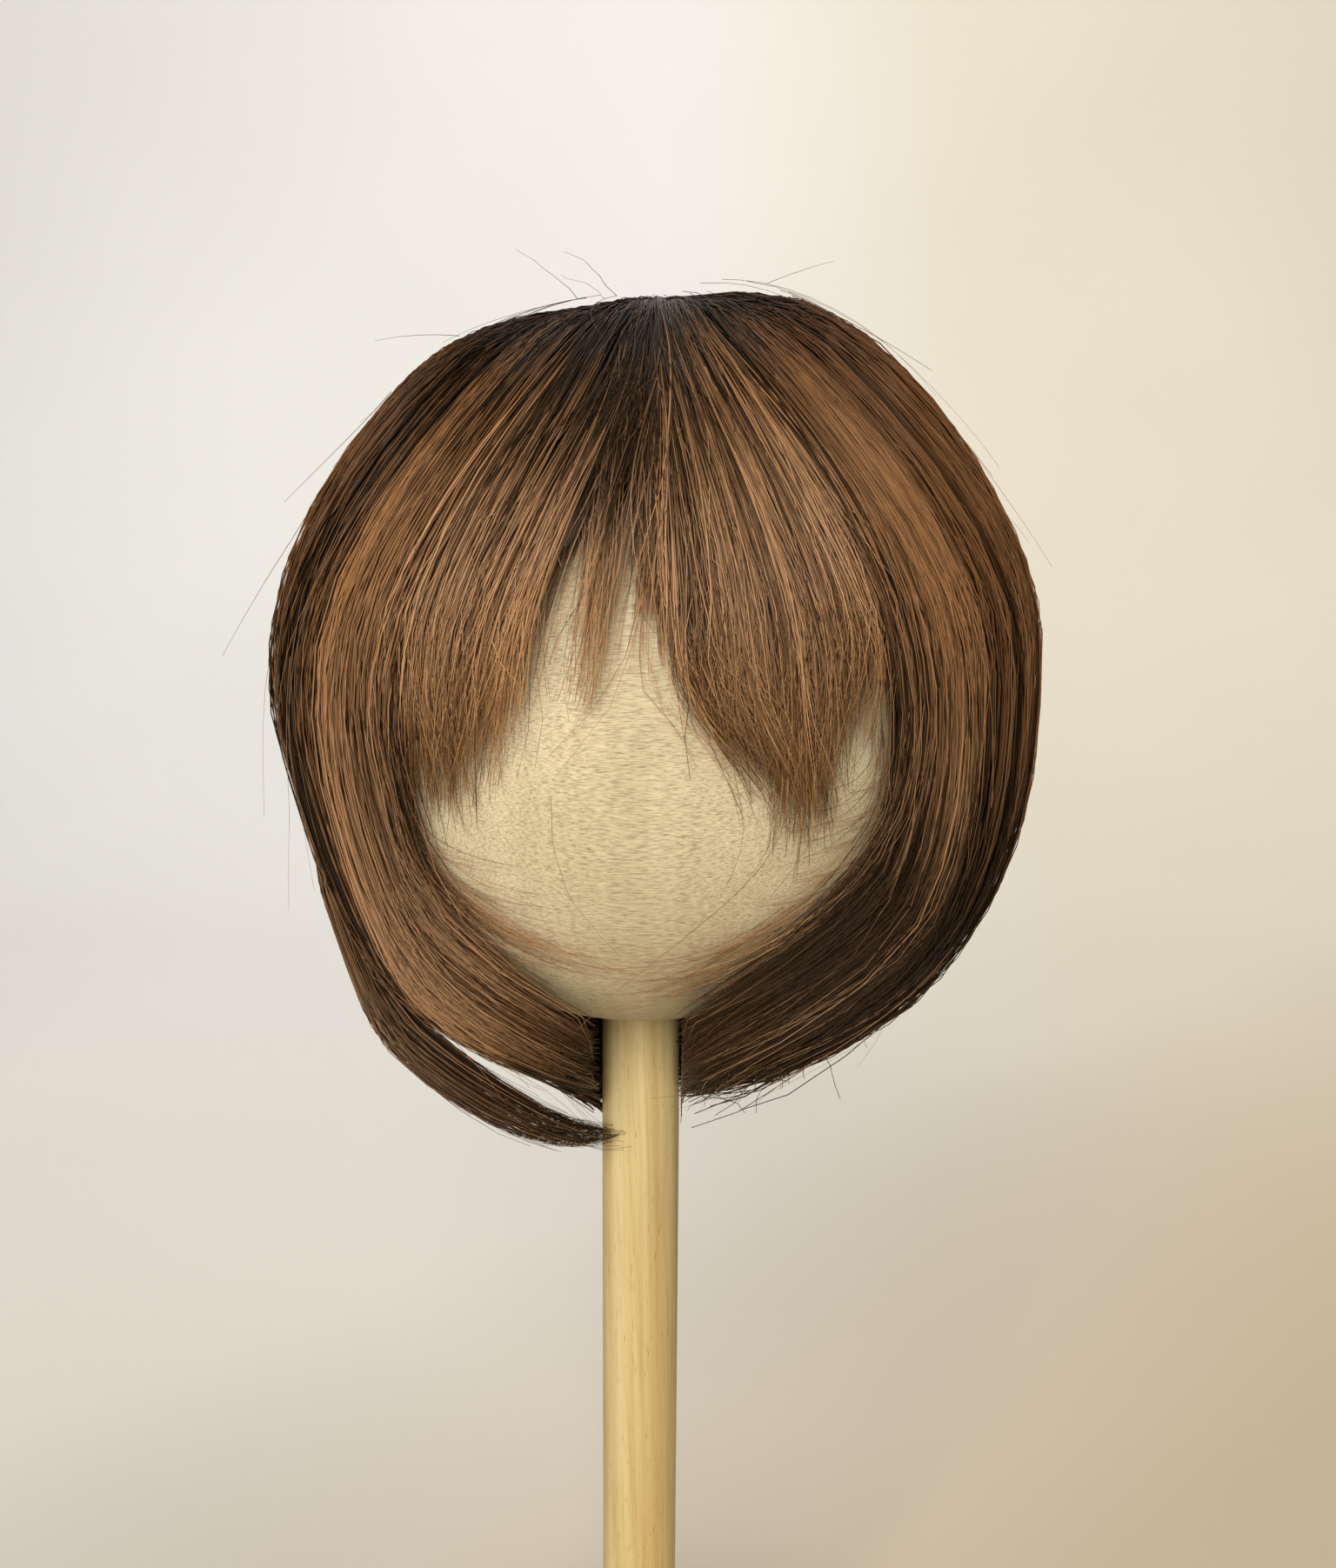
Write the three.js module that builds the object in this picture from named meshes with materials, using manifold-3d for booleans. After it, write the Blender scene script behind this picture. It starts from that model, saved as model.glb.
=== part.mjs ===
// A doll's bob wig with a parted fringe, on a plain wooden ball stand.
// Millimetres, +Z up. The fringe faces -Y, and the origin is the middle of the foot's underside.
import * as THREE from "three";
import { mergeVertices } from "three/addons/utils/BufferGeometryUtils.js";
import Module from "manifold-3d";

const wasm = await Module();
wasm.setup();

// Stand
const BALL_RADIUS = 32;
const DOWEL_RADIUS = 4;
const DOWEL_FREE_LENGTH = 100;
const BALL_SOCKET_DEPTH = 18;
const FOOT_RADIUS = 36;
const FOOT_HEIGHT = 12;
const FOOT_SOCKET_DEPTH = 8;
const FOOT_EDGE_ROUND = 2;
const BALL_CENTRE_HEIGHT = FOOT_HEIGHT + DOWEL_FREE_LENGTH + BALL_RADIUS;

// Gaps between pieces that touch
const SEAT_GAP = 0.3;
const PANEL_GAP = 0.7;
const FLATS_DIP = 0.2; // how far the flats of a faceted round wall lie inside its radius

// How finely the round pieces are faceted
const BALL_TURN_STEPS = 36;
const BALL_PROFILE_STEPS = 20;
const DOWEL_TURN_STEPS = 24;
const FOOT_TURN_STEPS = 40;
const FOOT_EDGE_STEPS = 3;
const CROWN_TURN_STEPS = 20;
const CROWN_DOME_STEPS = 3;
const CAP_COLUMNS = 36;
const CAP_ROWS = 11;

// Cap, whose edge dips from the forehead round to the nape, as polar angles from the crown
const CAP_WALL = 1;
const CAP_INNER_RADIUS = BALL_RADIUS + SEAT_GAP + FLATS_DIP;
const CAP_OUTER_RADIUS = CAP_INNER_RADIUS + CAP_WALL;
const CAP_EDGE_FRONT = 48;
const CAP_EDGE_BACK = 122;

// Crown disc, where the wefts close and the hair springs from
const CROWN_RADIUS = 3;
const CROWN_RIM_HEIGHT = 1.6;
const CROWN_DOME_HEIGHT = 1;
const WHORL_OFFSET_X = 1.5;
const WHORL_OFFSET_FADES_BY = 32;

// Hair, in polar coordinates about the ball's centre: the polar angle runs down from the crown,
// and the azimuth is 0 at the front and grows towards +X.
const HAIR_RADIUS_ON_CAP = CAP_OUTER_RADIUS + SEAT_GAP + FLATS_DIP;
const HAIR_OFF_BALL = 1.2;
const HAIR_RADIUS_BELOW_CAP = BALL_RADIUS + HAIR_OFF_BALL;
const HAIR_FALLS_FROM = 9; // degrees past the cap's edge between which the hair falls to the ball
const HAIR_FALLS_TO = 18;
const HAIR_ROOT_POLAR = 7;
const HAIR_THICKNESS = 5;
const HAIR_TIP_THICKNESS = 0.7;
const LOCK_GROOVE = 0.9;
const COLUMNS_PER_LOCK = 4;

// The outer radius of the hair on each side of the head, down from the crown
const HAIR_OUTLINE = [
  { polar: 0, left: 37.4, right: 38.4, front: 37.2, back: 38.4 },
  { polar: 15, left: 37.8, right: 40.0, front: 38.0, back: 40.0 },
  { polar: 30, left: 37.7, right: 40.2, front: 38.0, back: 40.4 },
  { polar: 45, left: 36.5, right: 39.2, front: 37.6, back: 39.9 },
  { polar: 60, left: 35.8, right: 38.8, front: 37.0, back: 39.4 },
  { polar: 75, left: 35.5, right: 38.7, front: 36.5, back: 38.9 },
  { polar: 90, left: 35.1, right: 37.9, front: 36.0, back: 38.4 },
  { polar: 105, left: 34.4, right: 38.5, front: 35.7, back: 38.4 },
  { polar: 120, left: 35.6, right: 39.4, front: 35.7, back: 39.0 },
  { polar: 135, left: 37.8, right: 40.2, front: 36.9, back: 39.8 },
  { polar: 150, left: 38.6, right: 40.0, front: 38.0, back: 40.8 },
  { polar: 165, left: 40.2, right: 40.2, front: 39.6, back: 42.4 },
  { polar: 180, left: 48.0, right: 41.6, front: 42.0, back: 45.0 },
];

// How the hair runs, told apart by the azimuth at which it passes the brow.
// Above the brow it gathers towards a parting that leans to one side.
const PARTING_AZIMUTH = -1;
const PARTING_SOFTNESS = 14;
const PARTING_LEAN = 5.5;
const PARTING_LEAN_WIDTH = 30;
const GATHERED = 15;
const GATHERED_FADES_FROM = 48;
const GATHERED_FADES_TO = 115;
const GATHERED_ABOVE = 22; // polar angles between which the hair leaves the parting
const GATHERED_DOWN_TO = 82;

// Below the brow a panel may sweep aside between these polar angles.
const SWEEP_FROM = 76;
const SWEEP_TO = 100;

// Lower down all but the fringe curls in towards the middle. Hair turns by an angle over a span of polar
// angles, and both the turn and where it starts from grow with each degree behind the curl's front edge.
const CURLS = {
  left: { front: -34, turn: 50, turnGrowth: 0, from: 98, fromGrowth: 1.95, span: 56 },
  right: { front: 35, turn: -31, turnGrowth: -1, from: 95, fromGrowth: 1.5, span: 44 },
};
const CURL_GROWS_OVER = 16;
const CURL_FADES_FROM = 58;
const CURL_FADES_TO = 165;

// Under the ball the curled hair makes way for the dowel between these polar angles.
const DOWEL_CLEARANCE = 0.5;
const WAY_FOR_DOWEL_FROM = 138;
const WAY_FOR_DOWEL_TO = 160;

// The edges round the face lie thin on the ball: the curls' front edges and the fringe beside the parting,
// each over a width in azimuth and between two polar angles, and the fringe's tips lower down
const EDGE_THICKNESS = 0.9;
const EDGE_WIDTH = 12;
const CURL_EDGE = { from: 84, to: 104 };
const FRINGE_EDGE = { from: 42, to: 62 };
const FRINGE_TIPS = { from: 70, to: 96 };

// Each panel of hair, from one brow azimuth to the next, with the polar angle that each lock's tip reaches.
// A panel sweeps a share of the way to an azimuth, and it curls or not.
const HAIR_PANELS = [
  {
    name: "fringe_left", from: -34, to: -1, sweepTo: -34, sweepShare: 0.36, curls: false, rows: 9, notch: 6,
    lockTips: [93, 98, 92, 87, 82, 84],
  },
  {
    name: "fringe_right", from: -1, to: 35, sweepTo: 27, sweepShare: 0.85, curls: false, rows: 9, notch: 6,
    lockTips: [82, 96, 98, 100, 99, 88],
  },
  {
    name: "side_left", from: -50, to: -34, sweepTo: 0, sweepShare: 0, curls: true, rows: 12, notch: 6,
    lockTips: [158, 150, 142, 131],
  },
  {
    name: "side_right", from: 35, to: 54, sweepTo: 54, sweepShare: 0.16, curls: true, rows: 12, notch: 6,
    lockTips: [132, 141, 148, 154, 159.8],
  },
  {
    name: "back_left", from: -180, to: -50, sweepTo: 0, sweepShare: 0, curls: true, rows: 13, notch: 2,
    lockTips: [173.4, 173, 173.4, 173, 173, 172, 168],
  },
  {
    name: "back_right", from: 54, to: 180, sweepTo: 0, sweepShare: 0, curls: true, rows: 13, notch: 2,
    lockTips: [168, 172, 173, 173, 173, 173.4, 173],
  },
];

// The loose lock that swings out at the lower left, from where it leaves the back hair to its tip
const LOOSE_LOCK_AZIMUTH = -80;
const LOOSE_LOCK_SIDES = 8;
const LOOSE_LOCK_STEPS = 14;
const LOOSE_LOCK = [
  { polar: 98, radius: 33.9, width: 5, thickness: 0.8 },
  { polar: 106, radius: 33.9, width: 7, thickness: 1.2 },
  { polar: 113, radius: 34.1, width: 8, thickness: 1.6 },
  { polar: 119, radius: 35.2, width: 9, thickness: 2.6 },
  { polar: 127, radius: 36.7, width: 9, thickness: 3.2 },
  { polar: 134, radius: 38.6, width: 9, thickness: 3.6 },
  { polar: 141, radius: 40.6, width: 9, thickness: 4.4 },
  { polar: 147, radius: 41.4, width: 8, thickness: 4.6 },
  { polar: 153, radius: 42.2, width: 7, thickness: 4.6 },
  { polar: 159, radius: 43.2, width: 6, thickness: 4.2 },
  { polar: 166, radius: 44.5, width: 4, thickness: 3 },
  { polar: 173, radius: 45.4, width: 1.5, thickness: 1 },
];

// Finishes
const MATERIALS = {
  hair: new THREE.MeshStandardMaterial({ color: 0x5a3d27, roughness: 0.42, metalness: 0 }),
  cap: new THREE.MeshStandardMaterial({ color: 0x3a281b, roughness: 0.95, metalness: 0 }),
  crown: new THREE.MeshStandardMaterial({ color: 0xcdb69a, roughness: 0.8, metalness: 0 }),
  ball: new THREE.MeshStandardMaterial({ color: 0xdcc59a, roughness: 0.7, metalness: 0 }),
  dowel: new THREE.MeshStandardMaterial({ color: 0xdfc488, roughness: 0.65, metalness: 0 }),
  foot: new THREE.MeshStandardMaterial({ color: 0xd9c091, roughness: 0.7, metalness: 0 }),
};

const MERGE_DISTANCE = 1e-3;
const radians = THREE.MathUtils.degToRad;

// A smooth curve through a table's named columns, as a function that gives all the columns at once.
function smoothTable(rows, key, columns) {
  const places = rows.map((row) => row[key]);
  const values = rows.flatMap((row) => columns.map((column) => row[column]));
  const curve = new THREE.CubicInterpolant(places, values, columns.length);
  return (place) => Array.from(curve.evaluate(place));
}

const hairOutlineAt = smoothTable(HAIR_OUTLINE, "polar", ["left", "right", "front", "back"]);

// The outer radius of the hair: each side of the head counts by the square of the azimuth's cosine to it.
function hairRadius(polar, azimuth) {
  const [left, right, front, back] = hairOutlineAt(polar);
  const across = Math.sin(radians(azimuth));
  const forward = Math.cos(radians(azimuth));
  const side = across > 0 ? right : left;
  const end = forward > 0 ? front : back;
  return across ** 2 * side + forward ** 2 * end;
}

// How far hair has curled in at a polar angle, by the azimuth at which it passes the brow.
function hairCurl(browAzimuth, polar) {
  const { clamp, smoothstep } = THREE.MathUtils;
  const { front, turn, turnGrowth, from, fromGrowth, span } = browAzimuth < 0 ? CURLS.left : CURLS.right;
  const behind = clamp(Math.abs(browAzimuth) - Math.abs(front), 0, CURL_GROWS_OVER);
  const start = from + fromGrowth * behind;
  const fade = 1 - smoothstep(Math.abs(browAzimuth), CURL_FADES_FROM, CURL_FADES_TO);
  return (turn + turnGrowth * behind) * fade * smoothstep(polar, start, start + span);
}

// How far hair is gathered towards the parting at a polar angle.
function hairGather(browAzimuth, polar) {
  const { smoothstep } = THREE.MathUtils;
  const fade = 1 - smoothstep(Math.abs(browAzimuth), GATHERED_FADES_FROM, GATHERED_FADES_TO);
  const towards = GATHERED * fade * Math.tanh((browAzimuth - PARTING_AZIMUTH) / PARTING_SOFTNESS);
  const lean = PARTING_LEAN * Math.exp(-((browAzimuth / PARTING_LEAN_WIDTH) ** 2));
  return (lean - towards) * (1 - smoothstep(polar, GATHERED_ABOVE, GATHERED_DOWN_TO));
}

// An azimuth moved aside in front of the dowel, so that the hair beside it leaves the dowel in view.
function besideDowel(azimuth, polar) {
  const ring = hairRadius(polar, azimuth) * Math.sin(radians(polar));
  const dowel = THREE.MathUtils.radToDeg(Math.asin(Math.min(1, (DOWEL_RADIUS + DOWEL_CLEARANCE) / ring)));
  const kept = dowel * THREE.MathUtils.smoothstep(polar, WAY_FOR_DOWEL_FROM, WAY_FOR_DOWEL_TO);
  const squeezed = Math.max(0, 1 - Math.abs(azimuth) / 90);
  return azimuth + Math.sign(azimuth) * kept * squeezed;
}

// The azimuth that a panel's hair has at a polar angle.
function hairAzimuth(panel, browAzimuth, polar) {
  const sweep = panel.sweepShare * THREE.MathUtils.smoothstep(polar, SWEEP_FROM, SWEEP_TO);
  const swept = (panel.sweepTo - browAzimuth) * sweep;
  const combed = browAzimuth + hairGather(browAzimuth, polar) + swept;
  return panel.curls ? besideDowel(combed + hairCurl(browAzimuth, polar), polar) : combed;
}

// A point in space from polar coordinates about the ball's centre.
function polarPoint(polar, azimuth, radius) {
  const ring = radius * Math.sin(radians(polar));
  const drop = radius * Math.cos(radians(polar));
  return new THREE.Vector3(ring * Math.sin(radians(azimuth)), -ring * Math.cos(radians(azimuth)), drop);
}

// The crown's whorl lies a little to one side, and the hair comes back to the middle on its way down.
function whorlShift(polar) {
  return WHORL_OFFSET_X * (1 - THREE.MathUtils.smoothstep(polar, 0, WHORL_OFFSET_FADES_BY));
}

// A closed geometry from points and triangles: equal points become one, and collapsed triangles go.
function closedGeometry(points, triangles) {
  const flat = triangles.flatMap((corner) => points[corner].toArray());
  const loose = new THREE.BufferGeometry();
  loose.setAttribute("position", new THREE.Float32BufferAttribute(flat, 3));
  const merged = mergeVertices(loose, MERGE_DISTANCE);
  const kept = [];
  for (let corner = 0; corner < merged.index.count; corner += 3) {
    const [a, b, c] = [0, 1, 2].map((step) => merged.index.getX(corner + step));
    if (a !== b && b !== c && c !== a) kept.push(a, b, c);
  }
  merged.setIndex(kept);
  merged.computeVertexNormals();
  return merged;
}

// A wall between an outer and an inner surface, each given as a point for a column and a row.
// A round wall closes on itself, and so has no side edges.
function wallGeometry(columns, rows, round, outerPoint, innerPoint) {
  const points = [];
  for (const surface of [outerPoint, innerPoint]) {
    for (let row = 0; row <= rows; row++) {
      for (let column = 0; column <= columns; column++) {
        points.push(surface(round ? column % columns : column, row));
      }
    }
  }
  const half = points.length / 2;
  const outer = (column, row) => row * (columns + 1) + column;
  const inner = (column, row) => half + outer(column, row);
  const triangles = [];
  const quad = (a, b, c, d) => triangles.push(a, b, c, a, c, d);
  for (let row = 0; row < rows; row++) {
    for (let column = 0; column < columns; column++) {
      const [next, below] = [column + 1, row + 1];
      quad(outer(column, row), outer(column, below), outer(next, below), outer(next, row));
      quad(inner(column, row), inner(next, row), inner(next, below), inner(column, below));
    }
  }
  for (let column = 0; column < columns; column++) {
    const next = column + 1;
    quad(outer(column, 0), outer(next, 0), inner(next, 0), inner(column, 0));
    quad(outer(next, rows), outer(column, rows), inner(column, rows), inner(next, rows));
  }
  for (let row = 0; row < rows && !round; row++) {
    const below = row + 1;
    quad(outer(0, below), outer(0, row), inner(0, row), inner(0, below));
    quad(outer(columns, row), outer(columns, below), inner(columns, below), inner(columns, row));
  }
  return closedGeometry(points, triangles);
}

// The polar angle of the cap's edge at an azimuth.
function capEdge(azimuth) {
  const forward = (1 + Math.cos(radians(azimuth))) / 2;
  return THREE.MathUtils.lerp(CAP_EDGE_BACK, CAP_EDGE_FRONT, forward);
}

// The radius down to which the hair is full: it lies on the cap, and past its edge falls towards the ball.
function hairSeatRadius(polar, azimuth) {
  const pastEdge = polar - capEdge(azimuth);
  const fallen = THREE.MathUtils.smoothstep(pastEdge, HAIR_FALLS_FROM, HAIR_FALLS_TO);
  return THREE.MathUtils.lerp(HAIR_RADIUS_ON_CAP, HAIR_RADIUS_BELOW_CAP, fallen);
}

// The outer radius of a panel: the hair's outline, brought down to the ball along the edges round the face.
function hairSurface(panel, browAzimuth, polar, azimuth) {
  const { lerp, smoothstep } = THREE.MathUtils;
  const { front } = browAzimuth < 0 ? CURLS.left : CURLS.right;
  const edgeAzimuth = panel.curls ? front : PARTING_AZIMUTH;
  const { from, to } = panel.curls ? CURL_EDGE : FRINGE_EDGE;
  const behind = Math.abs(browAzimuth - edgeAzimuth);
  const beside = (1 - smoothstep(behind, 0, EDGE_WIDTH)) * smoothstep(polar, from, to);
  const tips = panel.curls ? 0 : smoothstep(polar, FRINGE_TIPS.from, FRINGE_TIPS.to);
  const low = Math.max(beside, tips);
  return lerp(hairRadius(polar, azimuth), hairSeatRadius(polar, azimuth) + EDGE_THICKNESS, low);
}

// How full a lock is across its width: 1 down its middle and 0 in the grooves beside it.
function lockFullness(share, locks) {
  return Math.abs(Math.sin(Math.PI * share * locks));
}

// The polar angle at which a panel ends at a share of its width: its locks' tips, with notches between them.
function panelEnd(panel, share) {
  const { lockTips, notch } = panel;
  const place = THREE.MathUtils.clamp(share * lockTips.length - 0.5, 0, lockTips.length - 1);
  const lock = Math.min(Math.floor(place), lockTips.length - 2);
  const tip = THREE.MathUtils.lerp(lockTips[lock], lockTips[lock + 1], place - lock);
  return tip - notch * (1 - lockFullness(share, lockTips.length));
}

// A panel of hair: locks side by side, fused along their grooves, that thin out towards their tips.
function hairPanelGeometry(panel) {
  const locks = panel.lockTips.length;
  const columns = locks * COLUMNS_PER_LOCK;
  const point = (column, row, isOuter) => {
    const share = column / columns;
    const down = row / panel.rows;
    const polar = THREE.MathUtils.lerp(HAIR_ROOT_POLAR, panelEnd(panel, share), down);
    const browAzimuth = THREE.MathUtils.lerp(panel.from, panel.to, share);
    const combed = hairAzimuth(panel, browAzimuth, polar);
    const groove = LOCK_GROOVE * (1 - lockFullness(share, locks)) * down;
    const outerRadius = hairSurface(panel, browAzimuth, polar, combed) - groove;
    const thickness = THREE.MathUtils.lerp(HAIR_THICKNESS, HAIR_TIP_THICKNESS, down ** 2);
    const innerRadius = Math.max(hairSeatRadius(polar, combed), outerRadius - thickness);
    const inset = PANEL_GAP / 2 / (innerRadius * Math.sin(radians(polar)));
    const azimuth = combed + THREE.MathUtils.radToDeg(inset) * (1 - 2 * share);
    const radius = isOuter ? Math.max(outerRadius, innerRadius + HAIR_TIP_THICKNESS) : innerRadius;
    const placed = polarPoint(polar, azimuth, radius);
    placed.x += whorlShift(polar);
    return placed;
  };
  const outer = (column, row) => point(column, row, true);
  const inner = (column, row) => point(column, row, false);
  return wallGeometry(columns, panel.rows, false, outer, inner);
}

// The loose lock: an oval section, broad across the hair and thin outwards, carried along the table's path.
function looseLockGeometry() {
  const at = smoothTable(LOOSE_LOCK, "polar", ["radius", "width", "thickness"]);
  const first = LOOSE_LOCK[0].polar;
  const last = LOOSE_LOCK[LOOSE_LOCK.length - 1].polar;
  const points = [];
  const triangles = [];
  for (let step = 0; step <= LOOSE_LOCK_STEPS; step++) {
    const polar = THREE.MathUtils.lerp(first, last, step / LOOSE_LOCK_STEPS);
    const [radius, width, thickness] = at(polar);
    const azimuth = LOOSE_LOCK_AZIMUTH + hairCurl(LOOSE_LOCK_AZIMUTH, polar);
    const ring = radius * Math.sin(radians(polar));
    for (let side = 0; side < LOOSE_LOCK_SIDES; side++) {
      const turn = (2 * Math.PI * side) / LOOSE_LOCK_SIDES;
      const across = THREE.MathUtils.radToDeg((width / 2 / ring) * Math.cos(turn));
      points.push(polarPoint(polar, azimuth + across, radius + (thickness / 2) * Math.sin(turn)));
    }
  }
  for (let step = 0; step < LOOSE_LOCK_STEPS; step++) {
    for (let side = 0; side < LOOSE_LOCK_SIDES; side++) {
      const next = (side + 1) % LOOSE_LOCK_SIDES;
      const [here, below] = [step * LOOSE_LOCK_SIDES, (step + 1) * LOOSE_LOCK_SIDES];
      triangles.push(here + side, here + next, below + next, here + side, below + next, below + side);
    }
  }
  const end = LOOSE_LOCK_STEPS * LOOSE_LOCK_SIDES;
  for (let side = 1; side < LOOSE_LOCK_SIDES - 1; side++) {
    triangles.push(0, side + 1, side);
    triangles.push(end, end + side, end + side + 1);
  }
  return closedGeometry(points, triangles);
}

// The union of two closed geometries.
function fused(first, second) {
  const solidOf = (geometry) =>
    new wasm.Manifold(
      new wasm.Mesh({
        numProp: 3,
        vertProperties: new Float32Array(geometry.getAttribute("position").array),
        triVerts: new Uint32Array(geometry.index.array),
      }),
    );
  const { vertProperties, triVerts } = solidOf(first).add(solidOf(second)).getMesh();
  const joined = new THREE.BufferGeometry();
  joined.setAttribute("position", new THREE.BufferAttribute(vertProperties, 3));
  joined.setIndex(new THREE.BufferAttribute(triVerts, 1));
  joined.computeVertexNormals();
  return joined;
}

// The cap: a knitted wall on the ball whose edge dips from the forehead to the nape.
function capGeometry() {
  const point = (column, row, radius) => {
    const azimuth = (360 * column) / CAP_COLUMNS;
    return polarPoint((capEdge(azimuth) * row) / CAP_ROWS, azimuth, radius);
  };
  const outer = (column, row) => point(column, row, CAP_OUTER_RADIUS);
  const inner = (column, row) => point(column, row, CAP_INNER_RADIUS);
  return wallGeometry(CAP_COLUMNS, CAP_ROWS, true, outer, inner);
}

// A turned solid from its profile of radius and height, stood up along +Z.
function turned(profile, segments) {
  return new THREE.LatheGeometry(profile, segments).rotateX(Math.PI / 2);
}

const corner = (radius, height) => new THREE.Vector2(radius, height);

// Points along a round stretch of a profile.
function arc(centreRadius, centreHeight, radius, fromDegrees, toDegrees, steps) {
  return Array.from({ length: steps + 1 }, (_, step) => {
    const turn = radians(THREE.MathUtils.lerp(fromDegrees, toDegrees, step / steps));
    const reach = toDegrees === 90 && step === steps ? 0 : radius * Math.cos(turn);
    return corner(centreRadius + reach, centreHeight + radius * Math.sin(turn));
  });
}

// The ball, about its own centre, with the dowel's socket in its underside.
function ballGeometry() {
  const socketRadius = DOWEL_RADIUS + SEAT_GAP;
  const mouth = THREE.MathUtils.radToDeg(Math.acos(socketRadius / BALL_RADIUS));
  const socketTop = -BALL_RADIUS + BALL_SOCKET_DEPTH + SEAT_GAP;
  const sphere = arc(0, 0, BALL_RADIUS, -mouth, 90, BALL_PROFILE_STEPS);
  return turned([corner(0, socketTop), corner(socketRadius, socketTop), ...sphere], BALL_TURN_STEPS);
}

// The dowel, from its seat in the foot to its seat in the ball.
function dowelGeometry() {
  const bottom = FOOT_HEIGHT - FOOT_SOCKET_DEPTH;
  const top = FOOT_HEIGHT + DOWEL_FREE_LENGTH + BALL_SOCKET_DEPTH;
  const side = [corner(DOWEL_RADIUS, bottom), corner(DOWEL_RADIUS, top)];
  return turned([corner(0, bottom), ...side, corner(0, top)], DOWEL_TURN_STEPS);
}

// The foot: a turned disc with rounded edges and the dowel's socket in its top.
function footGeometry() {
  const socketRadius = DOWEL_RADIUS + SEAT_GAP;
  const socketFloor = FOOT_HEIGHT - FOOT_SOCKET_DEPTH - SEAT_GAP;
  const edge = FOOT_RADIUS - FOOT_EDGE_ROUND;
  const profile = [
    corner(0, 0),
    ...arc(edge, FOOT_EDGE_ROUND, FOOT_EDGE_ROUND, -90, 0, FOOT_EDGE_STEPS),
    ...arc(edge, FOOT_HEIGHT - FOOT_EDGE_ROUND, FOOT_EDGE_ROUND, 0, 90, FOOT_EDGE_STEPS),
    corner(socketRadius, FOOT_HEIGHT),
    corner(socketRadius, socketFloor),
    corner(0, socketFloor),
  ];
  return turned(profile, FOOT_TURN_STEPS);
}

// The crown disc: a low dome on the cap, about the ball's centre.
function crownGeometry() {
  const seat = CAP_OUTER_RADIUS + SEAT_GAP;
  const dome = arc(0, 0, 1, 0, 90, CROWN_DOME_STEPS).map(({ x, y }) =>
    corner(CROWN_RADIUS * x, seat + CROWN_RIM_HEIGHT + CROWN_DOME_HEIGHT * y),
  );
  return turned([corner(0, seat), corner(CROWN_RADIUS, seat), ...dome], CROWN_TURN_STEPS);
}

function piece(name, geometry, material) {
  const mesh = new THREE.Mesh(geometry, material);
  mesh.name = name;
  return mesh;
}

const stand = new THREE.Group();
const ball = piece("stand_ball", ballGeometry(), MATERIALS.ball);
ball.position.z = BALL_CENTRE_HEIGHT;
stand.add(
  piece("stand_foot", footGeometry(), MATERIALS.foot),
  piece("stand_dowel", dowelGeometry(), MATERIALS.dowel),
  ball,
);

const wig = new THREE.Group();
wig.position.z = BALL_CENTRE_HEIGHT;
const crown = piece("crown_disc", crownGeometry(), MATERIALS.crown);
crown.position.x = WHORL_OFFSET_X;
wig.add(piece("wig_cap", capGeometry(), MATERIALS.cap), crown);
for (const panel of HAIR_PANELS) {
  const locks = hairPanelGeometry(panel);
  const hair = panel.name === "back_left" ? fused(locks, looseLockGeometry()) : locks;
  wig.add(piece(panel.name, hair, MATERIALS.hair));
}

const wigOnStand = new THREE.Group();
wigOnStand.add(stand, wig);

export default wigOnStand;
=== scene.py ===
"""A doll's brown bob wig on a turned ball stand: hair, knitted cap, plain wood, studio and camera.

Sizes are millimetres in the frame of the part until a mesh is written, and angles are degrees. Hair is
laid out in polar coordinates about the ball's centre: the polar angle runs down from the crown, and the
azimuth is 0 at the front and grows towards +X.
"""
import math

import bpy
import numpy as np
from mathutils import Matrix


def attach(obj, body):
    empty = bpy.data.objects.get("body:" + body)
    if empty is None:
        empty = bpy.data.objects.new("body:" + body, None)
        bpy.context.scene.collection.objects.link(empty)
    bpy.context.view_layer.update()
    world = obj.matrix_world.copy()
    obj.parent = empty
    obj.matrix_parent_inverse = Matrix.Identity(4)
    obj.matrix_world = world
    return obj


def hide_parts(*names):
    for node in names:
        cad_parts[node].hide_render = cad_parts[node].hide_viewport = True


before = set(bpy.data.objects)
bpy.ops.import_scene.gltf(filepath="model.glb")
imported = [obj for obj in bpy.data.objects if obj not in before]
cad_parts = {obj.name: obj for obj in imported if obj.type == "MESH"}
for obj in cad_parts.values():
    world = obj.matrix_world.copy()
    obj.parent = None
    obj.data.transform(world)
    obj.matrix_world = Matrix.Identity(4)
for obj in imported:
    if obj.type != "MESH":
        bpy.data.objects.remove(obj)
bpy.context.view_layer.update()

METRES = 0.001

# Studio sweep
SWEEP_NEAR = -1600.0
SWEEP_BENDS_FROM = 350.0
SWEEP_BEND = 400.0
SWEEP_HEIGHT = 1800.0
SWEEP_HALF_WIDTH = 1800.0

# Stand
BALL_RADIUS = 32.0
DOWEL_RADIUS = 4.0
DOWEL_FREE_LENGTH = 100.0
BALL_SOCKET_DEPTH = 18.0
FOOT_RADIUS = 36.0
FOOT_HEIGHT = 12.0
FOOT_SOCKET_DEPTH = 8.0
FOOT_EDGE_ROUND = 2.0
SEAT_GAP = 0.3
BALL_CENTRE = np.array([0.0, 0.0, FOOT_HEIGHT + DOWEL_FREE_LENGTH + BALL_RADIUS])

# Cap and crown disc
CAP_INNER_RADIUS = 32.5
CAP_OUTER_RADIUS = 33.5
CAP_EDGE_FRONT = 48.0
CAP_EDGE_BACK = 122.0
CROWN_RADIUS = 3.0
CROWN_RIM_HEIGHT = 1.6
CROWN_DOME_HEIGHT = 1.0
WHORL_OFFSET_X = 1.5
WHORL_OFFSET_FADES_BY = 32.0

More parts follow.
